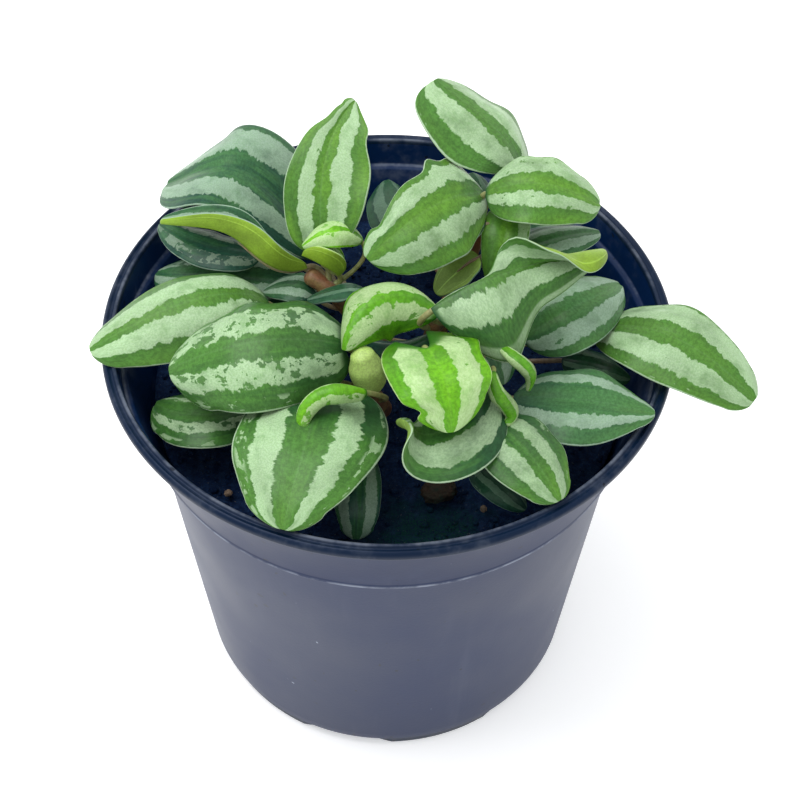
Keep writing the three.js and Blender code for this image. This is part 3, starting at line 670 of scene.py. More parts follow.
def make_leaf(name, row, settings, materials, seed):
    """One leaf with its stalk, as one piece that stands for its CAD node."""
    bm = bmesh.new()
    layers = {key: bm.verts.layers.float_vector.new(key) for key in ("place", "spread", "bands", "tone")}
    uv = bm.loops.layers.uv.new("UVMap")
    blade = Blade(row)
    add_blade(bm, blade, settings, seed, layers)
    add_stalk(bm, blade, settings, seed, layers)
    between = Random(LEAF_SEED + seed).uniform
    drawn = [(between(0.2, 0.32), between(0.58, 0.72), between(0, 1)) for _ in range(2)]
    bands = row.get("bands", drawn)
    tone = row.get("tone", (between(0, 0.5), between(-0.1, 0.25), between(0, 0.4)))
    for vert in bm.verts:
        v, t, _ = vert[layers["place"]]
        vert[layers["bands"]] = Vector(bands[v > 0])
        vert[layers["tone"]] = Vector([along(part, t) if isinstance(part, tuple) else part for part in tone])
    for face in bm.faces:
        for loop in face.loops:
            place = loop.vert[layers["place"]]
            loop[uv].uv = ((place.x + 1) / 2, place.y)
    age = AGES[row["age"]]
    upper, lower, stalk = materials[age]
    lower = materials[row.get("under", age)][1]
    subdivide(make_piece("blade_" + name, bm, (upper, lower, stalk), "leaf_" + name))


# ------------------------------------------------------------------ shoots, bud, pot and soil


def make_shoots(material):
    """Each shoot as a jointed stem that swells gently three times on its way up."""
    for number, (name, row) in enumerate(STEMS.items()):
        bm = bmesh.new()
        low, high = row["radius"]
        points, radii = [], []
        for i in range(SHOOT["steps"] + 1):
            t = i / SHOOT["steps"]
            joint = bump_at((3 * t + 0.5) % 1, 0.5, 0.16)
            points.append(curve_at(row["line"], t))
            radii.append((low + (high - low) * t) * (0.92 + 0.14 * joint))
        head = points[-1] - points[-2]
        points += [points[-1] + head * 0.55, points[-1] + head * 0.8]
        radii += [high * 0.75, high * 0.3]
        sweep(bm, points, radii, SHOOT["sides"])
        for vert in bm.verts:
            rough = noise.noise(vert.co * 0.8 + Vector((number, 0, 0)))
            vert.co += Vector((rough, noise.noise(vert.co * 0.8 + Vector((0, 9, 0))), 0)) * 0.12
        subdivide(make_piece("shoot_" + name, bm, [material], "stem_" + name))


def make_bud(material):
    """The unopened leaf at the front: a pointed, folded scale with a groove along its seam."""
    bm = bmesh.new()
    shares = [i / BUD["steps"] for i in range(BUD["steps"] + 1)]
    points = [curve_at(BUD["line"], share) for share in shares]
    radii = [along(BUD["radius"], share) * 0.98 for share in shares]
    points.append(points[-1] + (points[-1] - points[-2]) * 0.9)
    radii.append(0.25)
    rings = sweep(bm, points, radii, BUD["sides"])
    for ring, point in zip(rings, points):
        for vert in ring:
            arm = vert.co - point
            seam = bump_at(arm.angle(Vector((0.4, -0.7, 0.6))), 0, 0.3)
            vert.co = point + arm * (1 - 0.2 * seam + 0.06 * noise.noise(vert.co * 0.7))
    subdivide(make_piece("scale_bud", bm, [material], "bud_front"))


def turned_outline(bm, outline, sides):
    """Turns a closed shape from an outline of (radius, height, rounding) whose ends are on the axis."""
    verts = [bm.verts.new((radius, 0, height)) for radius, height, _ in outline]
    for pair in zip(verts, verts[1:]):
        bm.edges.new(pair)
    for rounding in sorted({corner for _, _, corner in outline if corner}):
        chosen = [vert for vert, (_, _, corner) in zip(verts, outline) if corner == rounding]
        bmesh.ops.bevel(
            bm, geom=chosen, offset=rounding * 0.7, offset_type="OFFSET", segments=2, profile=0.5,
            affect="VERTICES", material=-1,
        )
    bmesh.ops.spin(
        bm, geom=list(bm.verts) + list(bm.edges), cent=(0, 0, 0), axis=(0, 0, 1), dvec=(0, 0, 0),
        angle=2 * pi, steps=sides, use_merge=True, use_duplicate=False,
    )
    bmesh.ops.remove_doubles(bm, verts=bm.verts, dist=0.001)
    bmesh.ops.recalc_face_normals(bm, faces=bm.faces)


def pot_finish(face):
    """The finish that a face of the pot has."""
    middle = face.calc_center_median()
    if middle.z > POT_HEIGHTS["lip"] or middle.z < POT_HEIGHTS["foot"]:
        return "rim"
    if middle.z > POT_HEIGHTS["floor"] and face.normal.dot(Vector((middle.x, middle.y, 0))) < 0:
        return "inside"
    return "collar" if middle.z > POT_HEIGHTS["collar"] else "outside"


def cut_slots(pot):
    """Cuts the drain slots through the pot's foot, each with a block that has sloping ends."""
    bm = bmesh.new()
    reach = DRAIN["outer"] - DRAIN["inner"]
    middle = Matrix.Translation((DRAIN["inner"] + reach / 2, 0, 0))
    size = Matrix.Diagonal((reach, DRAIN["width"], 2 * DRAIN["height"], 1))
    for i in range(DRAIN["count"]):
        turn = Matrix.Rotation(radians(DRAIN["first_angle"] + i * 360 / DRAIN["count"]), 4, "Z")
        block = bmesh.ops.create_cube(bm, size=1)["verts"]
        bmesh.ops.scale(bm, vec=(1, DRAIN["taper"], 1), verts=[v for v in block if v.co.z > 0])
        bmesh.ops.transform(bm, matrix=turn @ middle @ size, verts=block)
        edges = {e for v in block for e in v.link_edges}
        lengthways = [e for e in edges if abs(e.calc_length() - reach) < 0.01]
        bmesh.ops.bevel(
            bm, geom=lengthways, offset=DRAIN["rounding"], offset_type="OFFSET", segments=3, profile=0.5,
            affect="EDGES", material=-1,
        )
    slots = add_mesh("slots", bm)
    difference = pot.modifiers.new("Slots", "BOOLEAN")
    difference.object = slots
    difference.solver = "EXACT"
    evaluated = pot.evaluated_get(bpy.context.evaluated_depsgraph_get())
    finished = bpy.data.meshes.new_from_object(evaluated)
    pot.modifiers.clear()
    pot.data = finished
    bpy.data.objects.remove(slots)
    finished.set_sharp_from_angle(angle=radians(32))


def make_pot(materials):
    """The moulded pot, with a material for each of its finishes in turn."""
    bm = bmesh.new()
    turned_outline(bm, POT_OUTLINE, POT_SIDES)
    finishes = list(POT_FINISHES)
    for face in bm.faces:
        face.material_index = finishes.index(pot_finish(face))
    cut_slots(make_piece("moulded_pot", bm, materials, "pot"))


def soil_height(x, y):
    """Height of the soil's surface: gentle mounds with lumps of several sizes on them."""
    height = SOIL["top"] + 0.45 * sin(x / 6 + 1) * cos(y / 7) + 0.3 * sin(x / 3.1 - y / 4.3)
    place = Vector((x, y, 0))
    height += 0.55 * noise.noise(place * 0.35) + 0.42 * noise.noise(place * 0.9)
    return height + 0.3 * abs(noise.noise(place * 1.9)) - 0.25


def make_soil(material):
    """The potting mix, with a lumpy surface and crumbs lying loose on it."""
    bm = bmesh.new()
    rings, edge = SOIL["rings"], SOIL["edge_radius"]
    outline = [(0, SOIL["bottom"], 0), (SOIL["bottom_radius"], SOIL["bottom"], 0)]
    outline += [(SOIL["shoulder_radius"], SOIL["shoulder"], 0), (edge, SOIL["edge_height"], 0)]
    outline += [(edge * i / rings, SOIL["top"], 0) for i in range(rings, -1, -1)]
    turned_outline(bm, outline, SOIL["sides"])
    for vert in bm.verts:
        if vert.co.z > SOIL["edge_height"] + 0.5:
            vert.co.z = soil_height(vert.co.x, vert.co.y)
    random = Random(CRUMB_SEED)
    noise.seed_set(CRUMB_SEED)
    for _ in range(bpy.context.scene.peperomia_soil.crumbs):
        radius = edge * 0.985 * random.random() ** 0.5
        angle = random.uniform(0, 2 * pi)
        x, y = radius * cos(angle), radius * sin(angle)
        size = random.uniform(0.35, 0.75) if random.random() < 0.85 else random.uniform(0.8, 1.4)
        shape = Matrix.Diagonal((size, size * random.uniform(0.6, 1), size * random.uniform(0.4, 0.8), 1))
        turn = Matrix.Rotation(random.uniform(0, 2 * pi), 4, "Z")
        tilt = Matrix.Rotation(random.uniform(-0.6, 0.6), 4, "X")
        place = Matrix.Translation((x, y, soil_height(x, y) + size * 0.2))
        made = bmesh.ops.create_icosphere(bm, subdivisions=1, radius=1, matrix=place @ turn @ tilt @ shape)
        for vert in made["verts"]:
            vert.co += noise.noise_vector(vert.co * 1.7) * size * 0.3
    make_piece("mix_surface", bm, [material], "soil")


def make_grains(materials):
    """A chip of bark and a few grains of grit, each in the middle of its CAD node."""
    for number, (name, row) in enumerate(GRAINS.items()):
        bm = bmesh.new()
        bmesh.ops.create_icosphere(bm, subdivisions=4, radius=0.5)
        flat = row["slot"] == "bark"
        for vert in bm.verts:
            direction = vert.co.normalized()
            rough = noise.noise(direction * 2.3 + Vector((number * 5, 0, 0)))
            grain = noise.noise(Vector((direction.x * 1.5, direction.y * 9, direction.z * 9)))
            pitted = noise.noise(direction * 6 + Vector((0, number * 5, 0)))
            vert.co *= 1 + 0.2 * rough + (0.16 * grain + 0.12 * pitted if flat else 0.05 * grain)
            if flat:
                vert.co = Vector([0.5 * (abs(c) * 2) ** 0.7 * (1 if c > 0 else -1) for c in vert.co])
        bmesh.ops.scale(bm, vec=Vector(row["size"]) * 0.9, verts=bm.verts)
        bmesh.ops.rotate(bm, matrix=Matrix.Rotation(radians(row["turn"]), 3, "Z"), verts=bm.verts)
        low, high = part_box(name)
        bmesh.ops.translate(bm, vec=(low + high) / 2 / MM, verts=bm.verts)
        make_piece("loose_" + name, bm, [materials[row["slot"]]], name)


# ------------------------------------------------------------------ shader nodes


def feed(tree, socket, value):
    """Links a source to an input socket, or stores a value in it."""
    if isinstance(value, bpy.types.NodeSocket):
        tree.links.new(value, socket)
    elif socket.type == "RGBA":
        socket.default_value = (*value[:3], 1)
    else:
        socket.default_value = value


class Nodes:
    """Adds nodes to the tree of a material or of a group."""

    def __init__(self, tree):
        self.tree = tree

    def put(self, kind, inputs=(), **settings):
        """Adds a node, its inputs given by place or by name, and returns its outputs."""
        node = self.tree.nodes.new("ShaderNode" + kind)
        for key, value in settings.items():
            setattr(node, key, value)
        for key, value in inputs.items() if isinstance(inputs, dict) else enumerate(inputs):
            feed(self.tree, node.inputs[key], value)
        return node.outputs

    def calc(self, operation, *inputs):
        """One step of arithmetic."""
        return self.put("Math", inputs, operation=operation)[0]

    def times(self, first, second):
        return self.calc("MULTIPLY", first, second)

    def minus(self, first, second):
        return self.calc("SUBTRACT", first, second)

    def total(self, first, *others):
        """All the values added up."""
        for other in others:
            first = self.calc("ADD", first, other)
        return first

    def scaled(self, value, scale, added):
        """The value multiplied by a scale, with another value added."""
        return self.calc("MULTIPLY_ADD", value, scale, added)

    def blend(self, factor, first, second):
        """The first colour going over to the second as the factor goes from 0 to 1."""
        return self.put("Mix", {0: factor, 6: first, 7: second}, data_type="RGBA")[2]

    def lit(self, colour, value):
        """The colour made lighter or darker."""
        return self.put("HueSaturation", {"Value": value, "Color": colour})[0]

    def ease(self, value, low, high, start=0.0, end=1.0):
        """A value that goes smoothly from start to end as the input goes from low to high."""
        return self.put("MapRange", (value, low, high, start, end), interpolation_type="SMOOTHSTEP")[0]

    def cloud(self, vector, scale, detail=2.0, roughness=0.5):
        """A noise value, with its middle at 0.5."""
        inputs = {"Vector": vector, "Scale": scale, "Detail": detail, "Roughness": roughness}
        return self.put("TexNoise", inputs)["Fac"]

    def stretch(self, vector, size):
        """The vector multiplied by a size along each axis."""
        return self.put("VectorMath", (vector, size), operation="MULTIPLY")[0]

    def distance(self, first, second):
        return self.put("VectorMath", (first, second), operation="DISTANCE")[1]

    def split(self, vector):
        return self.put("SeparateXYZ", (vector,))


class Group(Nodes):
    """A node group with the input sockets that it is given, for a surface's colour, roughness and height."""

    def __init__(self, name, **inputs):
        super().__init__(bpy.data.node_groups.new(name, "ShaderNodeTree"))
        outputs = {"Colour": "Color", "Roughness": "Float", "Height": "Float"}
        for in_out, sockets in (("INPUT", inputs), ("OUTPUT", outputs)):
            for label, kind in sockets.items():
                self.tree.interface.new_socket(label, in_out=in_out, socket_type="NodeSocket" + kind)
        self.given = self.tree.nodes.new("NodeGroupInput").outputs

    def finish(self, *results):
        """Feeds the group's colour, roughness and height, and returns the finished group."""
        for socket, result in zip(self.tree.nodes.new("NodeGroupOutput").inputs, results):
            self.tree.links.new(result, socket)
        return self.tree


def leaf_pattern():
    """The upper face of a leaf: green middle, toothed silver bands, flecked green edge, pale margin, and
    painted shade towards the base.
    """
    group = Group(
        "Leaf pattern", Place="Vector", Spread="Vector", Bands="Vector", Tone="Vector",
        Green="Color", Deep="Color", Lime="Color", Silver="Color", Margin="Color",
    )
    given, times, ease, blend = group.given, group.times, group.ease, group.blend

    def grain(size, scale=1.0, detail=2.0, roughness=0.6):
        return group.cloud(group.stretch(given["Spread"], size), scale, detail, roughness)

    def shifted(value, noise_value, amount):
        return group.scaled(group.minus(noise_value, 0.5), amount, value)

    place, bands, tone = [group.split(given[label]) for label in ("Place", "Bands", "Tone")]
    reach = group.calc("ABSOLUTE", place[0])
    millimetres = group.calc("ABSOLUTE", group.split(given["Spread"])[0])
    teeth = grain((0.3, 0.8, 1), 1.0, 3.0, 0.62)
    other_teeth = grain((0.3, 0.7, 1), 1.13, 3.0, 0.62)
    lobes = grain((0.12, 0.22, 1), 1.0, 1.0)
    crumbs = grain((0.9, 1.1, 1), 1.5, 3.0, 0.7)
    stipple = grain((1, 1, 1), 3.0, 2.0, 0.75)
    # The silver band, toothed on both sides, with slits and missing patches.
    from_middle = group.minus(shifted(shifted(reach, teeth, 0.26), lobes, 0.2), bands[0])
    outer = shifted(shifted(reach, other_teeth, 0.24), grain((0.12, 0.16, 1), 1.2, 1.0), 0.16)
    from_edge = group.minus(bands[1], outer)
    silver = times(ease(from_middle, -0.01, 0.02), ease(from_edge, -0.012, 0.02))
    gaps = group.minus(grain((0.42, 0.42, 1), 1.0, 3.0, 0.65), group.scaled(tone[2], -0.24, 0.74))
    silver = times(silver, ease(gaps, 0.0, 0.03, 1.0, 0.12))
    # Broken flecks of silver between the side vein and the margin.
    blots = group.minus(grain((0.5, 0.3, 1), 1.0, 3.0), group.scaled(bands[2], -0.2, 0.74))
    fleck = times(ease(reach, 0.76, 0.82), ease(reach, 0.97, 0.91))
    fleck = times(fleck, ease(blots, -0.01, 0.02))
    silver = group.calc("MAXIMUM", silver, times(fleck, 0.75))
    silver = times(silver, ease(place[1], 0.01, 0.06))
    # Greens: limier in the middle, darker beside the silver, streaked lengthways, and darker towards the base
    # as painted shade; the tone's darkness adds painted shade on leaves that lie in shadow.
    streaks = grain((0.9, 0.07, 1), 1.0, 3.0)
    patchy = grain((0.12, 0.1, 1))
    mottles_and_shade = group.total(
        times(ease(place[1], 0.45, 0.0), 0.9), ease(patchy, 0.35, 0.7, -0.15, 0.55),
        ease(streaks, 0.35, 0.65, -0.2, 0.42), ease(reach, 0.66, 0.8, 0.0, 0.2), tone[1],
    )
    green = blend(group.put("Clamp", (mottles_and_shade,))[0], given["Green"], given["Deep"])
    limy = times(tone[0], ease(shifted(patchy, streaks, 0.6), 0.3, 0.65, 0.35, 1.0))
    from_centre = group.calc("ABSOLUTE", group.minus(reach, 0.5))
    green = blend(times(limy, ease(from_centre, 0.1, 0.4, 0.5, 1.0)), green, given["Lime"])
    green = blend(ease(millimetres, 0.35, 0.06, 0.0, 0.03), green, given["Margin"])
    green = group.lit(green, ease(crumbs, 0.3, 0.7, 0.74, 1.16))
    frosted = blend(ease(stipple, 0.6, 0.4, 0.0, 0.26), given["Silver"], green)
    frosted = blend(ease(grain((0.2, 0.2, 1), 1.3, 3.0), 0.45, 0.72, 0.0, 0.42), frosted, green)
    # The silver's own mottling, darkened further by the tone's darkness as painted shade.
    silver_mottles_and_shade = times(ease(patchy, 0.3, 0.7, 1.12, 0.9), ease(tone[1], 0.0, 1.0, 1.0, 0.45))
    colour = blend(silver, green, group.lit(frosted, silver_mottles_and_shade))
    edge = ease(group.scaled(crumbs, 0.04, reach), 0.985, 1.01, 0.0, 0.8)
    colour = blend(edge, colour, given["Margin"])
    # Painted shade at the very base of the blade, where it meets the stalk.
    colour = blend(ease(place[1], 0.05, 0.0), colour, given["Deep"])
    rough = group.scaled(silver, 0.08, ease(patchy, 0.3, 0.7, 0.28, 0.38))
    height = group.scaled(silver, 0.25, times(stipple, 0.2))
    height = group.total(height, times(grain((0.7, 0.3, 1), 1.0), 0.9), times(streaks, 0.5))
    return group.finish(colour, rough, height)


def leaf_back():
    """The underside of a leaf: paler and matt, with raised, lighter veins."""
    group = Group(
        "Leaf underside", Place="Vector", Spread="Vector", Pale="Color", Shade="Color", Vein="Color"
    )
    given, ease = group.given, group.ease
    reach = group.calc("ABSOLUTE", group.split(given["Place"])[0])
    patchy = group.cloud(group.stretch(given["Spread"], (0.14, 0.12, 1)), 1.0, 3.0)
    fine = group.cloud(given["Spread"], 2.6, 3.0, 0.65)
    colour = group.blend(ease(patchy, 0.35, 0.65), given["Pale"], given["Shade"])
    arc = group.calc("ABSOLUTE", group.minus(reach, VEIN_PLACE))
    vein = group.calc("MAXIMUM", ease(reach, 0.06, 0.02), ease(arc, 0.035, 0.01, 0.0, 0.6))
    colour = group.blend(group.times(vein, 0.7), colour, given["Vein"])
    colour = group.lit(colour, ease(fine, 0.3, 0.7, 0.86, 1.1))
    return group.finish(colour, ease(patchy, 0.3, 0.7, 0.42, 0.54), group.scaled(fine, 0.5, vein))


def grown_skin():
    """The skin of stalks and shoots: two colours in soft patches, with fine pores."""
    group = Group("Grown skin", Vector="Vector", Mix="Float", First="Color", Second="Color", Scale="Float")
    given, ease = group.given, group.ease
    broad = group.cloud(given["Vector"], given["Scale"], 3.0, 0.6)
    pores = group.cloud(given["Vector"], group.times(given["Scale"], 7.0), 2.0, 0.6)
    factor = group.put("Clamp", (group.scaled(group.minus(broad, 0.5), 0.9, given["Mix"]),))[0]
    colour = group.lit(group.blend(factor, given["First"], given["Second"]), ease(pores, 0.3, 0.7, 0.8, 1.12))
    return group.finish(colour, ease(broad, 0.3, 0.7, 0.36, 0.5), pores)


def moulded_plastic():
    """Moulded plastic with a faint orange-peel grain, soft clouding, a few scuffs, dust, dark specks and a
    painted highlight line.
    """
    group = Group(
        "Moulded plastic", Vector="Vector", Colour="Color", Dust="Color", Roughness="Float",
        Soiling="Float", Edge="Vector", Wear="Float",
    )
    given, ease, times = group.given, group.ease, group.times
    vector = given["Vector"]
    grain = group.cloud(vector, 1600.0, 2.0, 0.6)
    broad = group.cloud(vector, 28.0, 3.0, 0.55)
    streaks = group.cloud(group.stretch(vector, (140, 140, 12)), 1.0, 3.0, 0.6)
    scuffs = group.cloud(group.stretch(vector, (160, 160, 900)), 1.0, 4.0, 0.75)
    specks = group.cloud(vector, 620.0, 0.0, 0.4)
    dust = group.cloud(group.stretch(vector, (1, 1, 1.3)), 560.0, 1.0, 0.5)
    grime = group.cloud(vector, 110.0, 4.0, 0.7)
    # A painted highlight: a paler line on the circle whose radius and height the group is given, broken up by
    # the grime noise.
    spot = group.split(vector)
    radius = group.calc("SQRT", group.scaled(spot[0], spot[0], times(spot[1], spot[1])))
    away = group.distance(group.put("CombineXYZ", (radius, spot[2]))[0], given["Edge"])
    painted_highlight = times(ease(away, 0.0006, 0.0001), ease(grime, 0.38, 0.62, 0.1, 1.0))
    soiled = times(ease(grime, 0.48, 0.72), given["Soiling"])
    # The painted highlight line is added to the streaks, scuffs, dust and soiling that pale the plastic.
    dust_and_highlight = group.total(
        group.scaled(painted_highlight, given["Wear"], ease(streaks, 0.55, 0.8, 0.0, 0.035)),
        ease(scuffs, 0.68, 0.78, 0.0, 0.08), ease(dust, 0.8, 0.84, 0.0, 0.7), times(soiled, 0.16),
    )
    colour = group.lit(given["Colour"], ease(broad, 0.25, 0.75, 0.88, 1.15))
    colour = group.blend(dust_and_highlight, colour, given["Dust"])
    colour = group.blend(ease(specks, 0.185, 0.165, 0.0, 0.85), colour, (0.004, 0.006, 0.01))
    rough = group.total(
        given["Roughness"], ease(broad, 0.3, 0.7, -0.04, 0.05), times(dust_and_highlight, 0.3), times(soiled, 0.2)
    )
    return group.finish(colour, rough, group.scaled(grain, 0.6, times(streaks, 0.4)))


def earthy():
    """Crumbly matter: two colours in grains, with pale specks, wet glints and a mossy patch."""
    group = Group(
        "Earthy", Vector="Vector", Dark="Color", Light="Color", Speck="Color", Scale="Float",
        Specks="Float", Patch="Vector", Algae="Color",
    )
    given, ease, times = group.given, group.ease, group.times

    def grains(size, detail, roughness=0.5):
        return group.cloud(given["Vector"], times(given["Scale"], size), detail, roughness)

    lumps, fine = grains(1.0, 5.0, 0.7), grains(4.0, 3.0, 0.7)
    spots, wet = grains(2.5, 1.0, 0.4), grains(0.3, 2.0)
    colour = group.blend(ease(lumps, 0.38, 0.68), given["Dark"], given["Light"])
    colour = group.lit(colour, ease(fine, 0.3, 0.7, 0.6, 1.3))
    colour = group.blend(times(ease(spots, 0.72, 0.76), given["Specks"]), colour, given["Speck"])
    away = group.scaled(wet, 0.02, group.distance(given["Vector"], given["Patch"]))
    mossy = times(ease(away, 0.025, 0.014), ease(fine, 0.42, 0.56))
    colour = group.blend(mossy, colour, given["Algae"])
    rough = group.minus(ease(fine, 0.3, 0.7, 0.6, 0.95), ease(wet, 0.5, 0.7, 0.0, 0.25))
    return group.finish(colour, rough, group.total(lumps, times(fine, 0.6)))


# ------------------------------------------------------------------ materials


def surfaced(name, group, inputs, bump, distance, **constants):
    """A material whose colour, roughness and bump come from a group placed with its own values.

    An input given as "Object" reads the object's coordinates, and another word the attribute of that name.
    """
    material = bpy.data.materials.new(name)
    material.use_nodes = True
    nodes = Nodes(material.node_tree)
    sources = dict(inputs)
    for label, value in inputs.items():
        if value == "Object":
            sources[label] = nodes.put("TexCoord")["Object"]
        elif isinstance(value, str):
            sources[label] = nodes.put("Attribute", attribute_name=value)["Vector"]
    placed = nodes.put("Group", sources, node_tree=group)
    raised = nodes.put("Bump", {"Strength": bump, "Distance": distance, "Height": placed["Height"]})[0]
    shader = nodes.tree.nodes["Principled BSDF"].inputs
    for label, socket in zip(("Base Color", "Roughness", "Normal"), (*placed[:2], raised)):
        nodes.tree.links.new(socket, shader[label])
    for label, value in constants.items():
        feed(nodes.tree, shader[label.replace("_", " ")], value)
    return material


def tinted(colour, *shares):
    """The colour with each channel multiplied by its own share, or all of them by one."""
    return [channel * share for channel, share in zip(colour, shares * 3)]


def glowing(radius, weight=0.08, scale=0.0008):
    """The shader's values for a living surface that light goes a little way into."""
    return dict(Subsurface_Weight=weight, Subsurface_Radius=radius, Subsurface_Scale=scale)


def leaf_materials():
    """The three materials of a leaf at each age: upper face, underside, stalk."""
    settings = bpy.context.scene.peperomia_leaves
    pattern, back, skin = leaf_pattern(), leaf_back(), grown_skin()
    # The last of each, for the oldest leaves, is darker partly as painted shade.
    margins = ((0.5, 0.64, 0.3), (0.42, 0.56, 0.38), (0.32, 0.45, 0.34), (0.14, 0.24, 0.18))
    unders = (settings.lime, (0.26, 0.42, 0.08), (0.2, 0.33, 0.14), (0.12, 0.2, 0.1))
    stalks = ((0.26, 0.38, 0.12), (0.26, 0.38, 0.14), (0.2, 0.24, 0.12), (0.16, 0.15, 0.09))
    glow = glowing((0.6, 1.0, 0.3))
    materials = {}
    for age, margin, under, stalk in zip(AGES, margins, unders, stalks):
        green = getattr(settings, age + "_green")
        upper = surfaced(
            "Leaf face " + age, pattern,
            {"Place": "place", "Spread": "spread", "Bands": "bands", "Tone": "tone", "Green": green,
             "Deep": tinted(green, 0.28, 0.4, 0.75), "Lime": tinted(green, 2, 1.6, 0.85),
             "Silver": getattr(settings, age + "_silver"), "Margin": margin},
            bump=0.35, distance=0.0002, Specular_IOR_Level=0.18, Coat_Weight=0.05, Coat_Roughness=0.25,
            **glow,
        )
        vein = [min(1, channel * 1.5 + 0.03) for channel in under]
        lower = surfaced(
            "Leaf back " + age, back,
            {"Place": "place", "Spread": "spread", "Pale": under, "Shade": tinted(under, 0.62), "Vein": vein},
            bump=0.45, distance=0.00025, Specular_IOR_Level=0.25, **glow,
        )
        stem = surfaced(
            "Stalk " + age, skin,
            {"Vector": "spread", "Mix": 0.4, "First": stalk, "Second": (0.24, 0.09, 0.045), "Scale": 0.35},
            bump=0.35, distance=0.0002, **glowing((0.6, 0.8, 0.3)),
        )
        materials[age] = (upper, lower, stem)
    return materials


# ------------------------------------------------------------------ operators and panel


class PEPEROMIA_OT_leaves(bpy.types.Operator):
    """Builds the leaves with their stalks"""

    bl_idname = "peperomia.leaves"
    bl_label = "Leaves"

    def execute(self, context):
        materials = leaf_materials()
        for seed, (name, row) in enumerate(LEAVES.items()):
            make_leaf(name, row, context.scene.peperomia_leaves, materials, seed)
        return {"FINISHED"}


class PEPEROMIA_OT_shoots(bpy.types.Operator):
    """Builds the shoots and the bud"""

    bl_idname = "peperomia.shoots"
    bl_label = "Shoots and bud"

    def execute(self, context):
        settings = context.scene.peperomia_plant
        skin = bpy.data.node_groups.get("Grown skin") or grown_skin()

        def grown(name, colour, mix, scale, bump, **constants):
            inputs = {"Vector": "Object", "Mix": mix, "First": colour, "Second": settings.shoot_tip,
                      "Scale": scale}
            return surfaced(name, skin, inputs, bump, distance=0.0002, **constants)

        glow = glowing((0.8, 1.0, 0.4), weight=0.1, scale=0.001)
        make_shoots(grown("Shoot", settings.shoot, mix=0.15, scale=320, bump=0.4))
        make_bud(grown("Bud", settings.bud, mix=0.2, scale=400, bump=0.3, **glow))
        return {"FINISHED"}


class PEPEROMIA_OT_pot(bpy.types.Operator):
    """Builds the nursery pot with its drain slots"""

    bl_idname = "peperomia.pot"
    bl_label = "Pot"

    def execute(self, context):
        settings = context.scene.peperomia_pot
        group = moulded_plastic()
        materials = []
        for name, look in POT_FINISHES.items():
            radius, height = look["edge"]
            inputs = {"Vector": "Object", "Colour": getattr(settings, look["colour"]),
                      "Dust": settings.dust, "Roughness": settings.roughness + look["rougher"],
                      "Soiling": look["soiling"], "Edge": (radius * MM, height * MM, 0), "Wear": look["wear"]}
            materials.append(surfaced(
                "Pot " + name, group, inputs, bump=0.2, distance=0.00015,
                Specular_IOR_Level=look["shine"], Specular_Tint=BLUISH,
            ))
        make_pot(materials)
        return {"FINISHED"}


class PEPEROMIA_OT_soil(bpy.types.Operator):
    """Builds the potting mix with its crumbs, the bark and the grit"""

    bl_idname = "peperomia.soil"
    bl_label = "Soil"

    def execute(self, context):
        settings = context.scene.peperomia_soil
        group = earthy()

        def earth(name, dark, light, speck, specks, scale, bump, shine):
            inputs = {"Vector": "Object", "Dark": dark, "Light": light, "Speck": speck, "Specks": specks,
                      "Scale": scale, "Patch": [c * MM for c in ALGAE], "Algae": settings.algae}
            return surfaced(name, group, inputs, bump, distance=0.0004, Specular_IOR_Level=shine)

        bark, grit = settings.bark, settings.grit
        make_soil(earth(
            "Potting mix", settings.mix, settings.crumb, speck=(0.12, 0.13, 0.13), specks=0.5,
            scale=900, bump=0.7, shine=0.12,
        ))
        make_grains({
            "bark": earth(
                "Bark", tinted(bark, 0.4), bark, speck=(0.2, 0.12, 0.08), specks=0.4,
                scale=1100, bump=0.6, shine=0.3,
            ),
            "grit": earth(
                "Grit", tinted(grit, 0.6), grit, speck=(0.6, 0.5, 0.4), specks=0.7,
                scale=1500, bump=0.5, shine=0.4,
            ),
        })
        return {"FINISHED"}


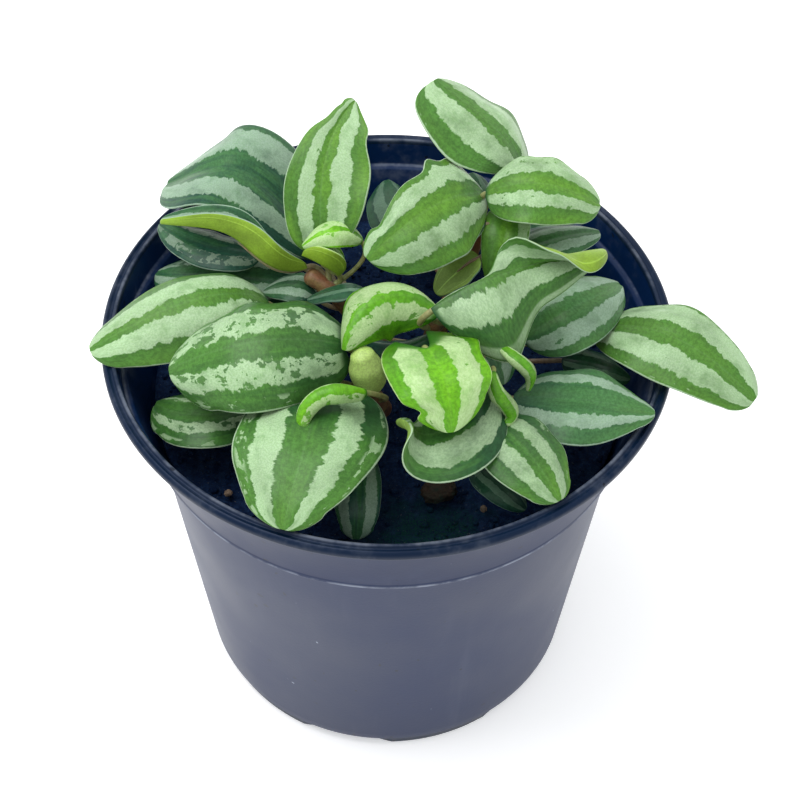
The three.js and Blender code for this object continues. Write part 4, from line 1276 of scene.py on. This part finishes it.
class PEPEROMIA_OT_stage(bpy.types.Operator):
    """Sets up the floor, the light and the camera"""

    bl_idname = "peperomia.stage"
    bl_label = "Stage"

    def execute(self, context):
        scene, settings = context.scene, context.scene.peperomia_stage
        scene.view_settings.view_transform = "Standard"
        scene.world = bpy.data.worlds.new("Studio")
        scene.world.use_nodes = True
        sky = scene.world.node_tree
        feed(sky, sky.nodes["Background"].inputs["Color"], DAYLIGHT)
        feed(sky, sky.nodes["Background"].inputs["Strength"], settings.sky)

        bm = bmesh.new()
        bmesh.ops.create_grid(bm, x_segments=8, y_segments=8, size=FLOOR_REACH)
        floor = add_mesh("floor", bm)
        finish = bpy.data.materials.new("Floor")
        finish.use_nodes = True
        shader = finish.node_tree.nodes["Principled BSDF"].inputs
        values = {"Base Color": settings.floor, "Roughness": 0.9, "Emission Color": DAYLIGHT,
                  "Emission Strength": settings.glow}
        for label, value in values.items():
            feed(finish.node_tree, shader[label], value)
        floor.data.materials.append(finish)

        light = bpy.data.lights.new("key", "AREA")
        light.size = KEY_LIGHT["size"] * MM
        light.energy = settings.key
        lamp = add_object("key", light)
        lamp.location = Vector(KEY_LIGHT["place"]) * MM
        aim = Vector(KEY_LIGHT["target"]) - Vector(KEY_LIGHT["place"])
        lamp.rotation_euler = aim.to_track_quat("-Z", "Y").to_euler()

        camera = bpy.data.cameras.new("camera")
        camera.lens = CAMERA["lens"]
        camera.clip_start = 0.01
        scene.camera = add_object("camera", camera)
        elevation = radians(CAMERA["elevation"])
        away = Vector((0, -cos(elevation), sin(elevation))) * CAMERA["distance"]
        scene.camera.location = (Vector(CAMERA["target"]) + away) * MM
        tilt = Matrix.Rotation(pi / 2 - elevation, 4, "X")
        roll = Matrix.Rotation(radians(CAMERA["roll"]), 4, "Z")
        scene.camera.rotation_euler = (tilt @ roll).to_euler()
        return {"FINISHED"}


OPERATORS = (
    PEPEROMIA_OT_stage, PEPEROMIA_OT_leaves, PEPEROMIA_OT_shoots, PEPEROMIA_OT_pot, PEPEROMIA_OT_soil,
)
SETTINGS = {
    "peperomia_leaves": LeafSettings,
    "peperomia_plant": PlantSettings,
    "peperomia_pot": PotSettings,
    "peperomia_soil": SoilSettings,
    "peperomia_stage": StageSettings,
}


class PEPEROMIA_PT_panel(bpy.types.Panel):
    """The plant's settings, with a button for each group of pieces"""

    bl_label = "Peperomia"
    bl_space_type = "VIEW_3D"
    bl_region_type = "UI"
    bl_category = "Peperomia"

    def draw(self, context):
        for key, kind in SETTINGS.items():
            box = self.layout.box()
            for setting in kind.__annotations__:
                box.prop(getattr(context.scene, key), setting)
        for operator in OPERATORS:
            self.layout.operator(operator.bl_idname)


CLASSES = (*SETTINGS.values(), *OPERATORS, PEPEROMIA_PT_panel)


def register():
    for cls in CLASSES:
        bpy.utils.register_class(cls)
    for key, kind in SETTINGS.items():
        setattr(bpy.types.Scene, key, bpy.props.PointerProperty(type=kind))


def unregister():
    for key in SETTINGS:
        delattr(bpy.types.Scene, key)
    for cls in reversed(CLASSES):
        bpy.utils.unregister_class(cls)


def main():
    """Builds the plant and its stage."""
    register()
    bpy.ops.peperomia.stage()
    bpy.ops.peperomia.leaves()
    bpy.ops.peperomia.shoots()
    bpy.ops.peperomia.pot()
    bpy.ops.peperomia.soil()


if __name__ == "__main__":
    main()
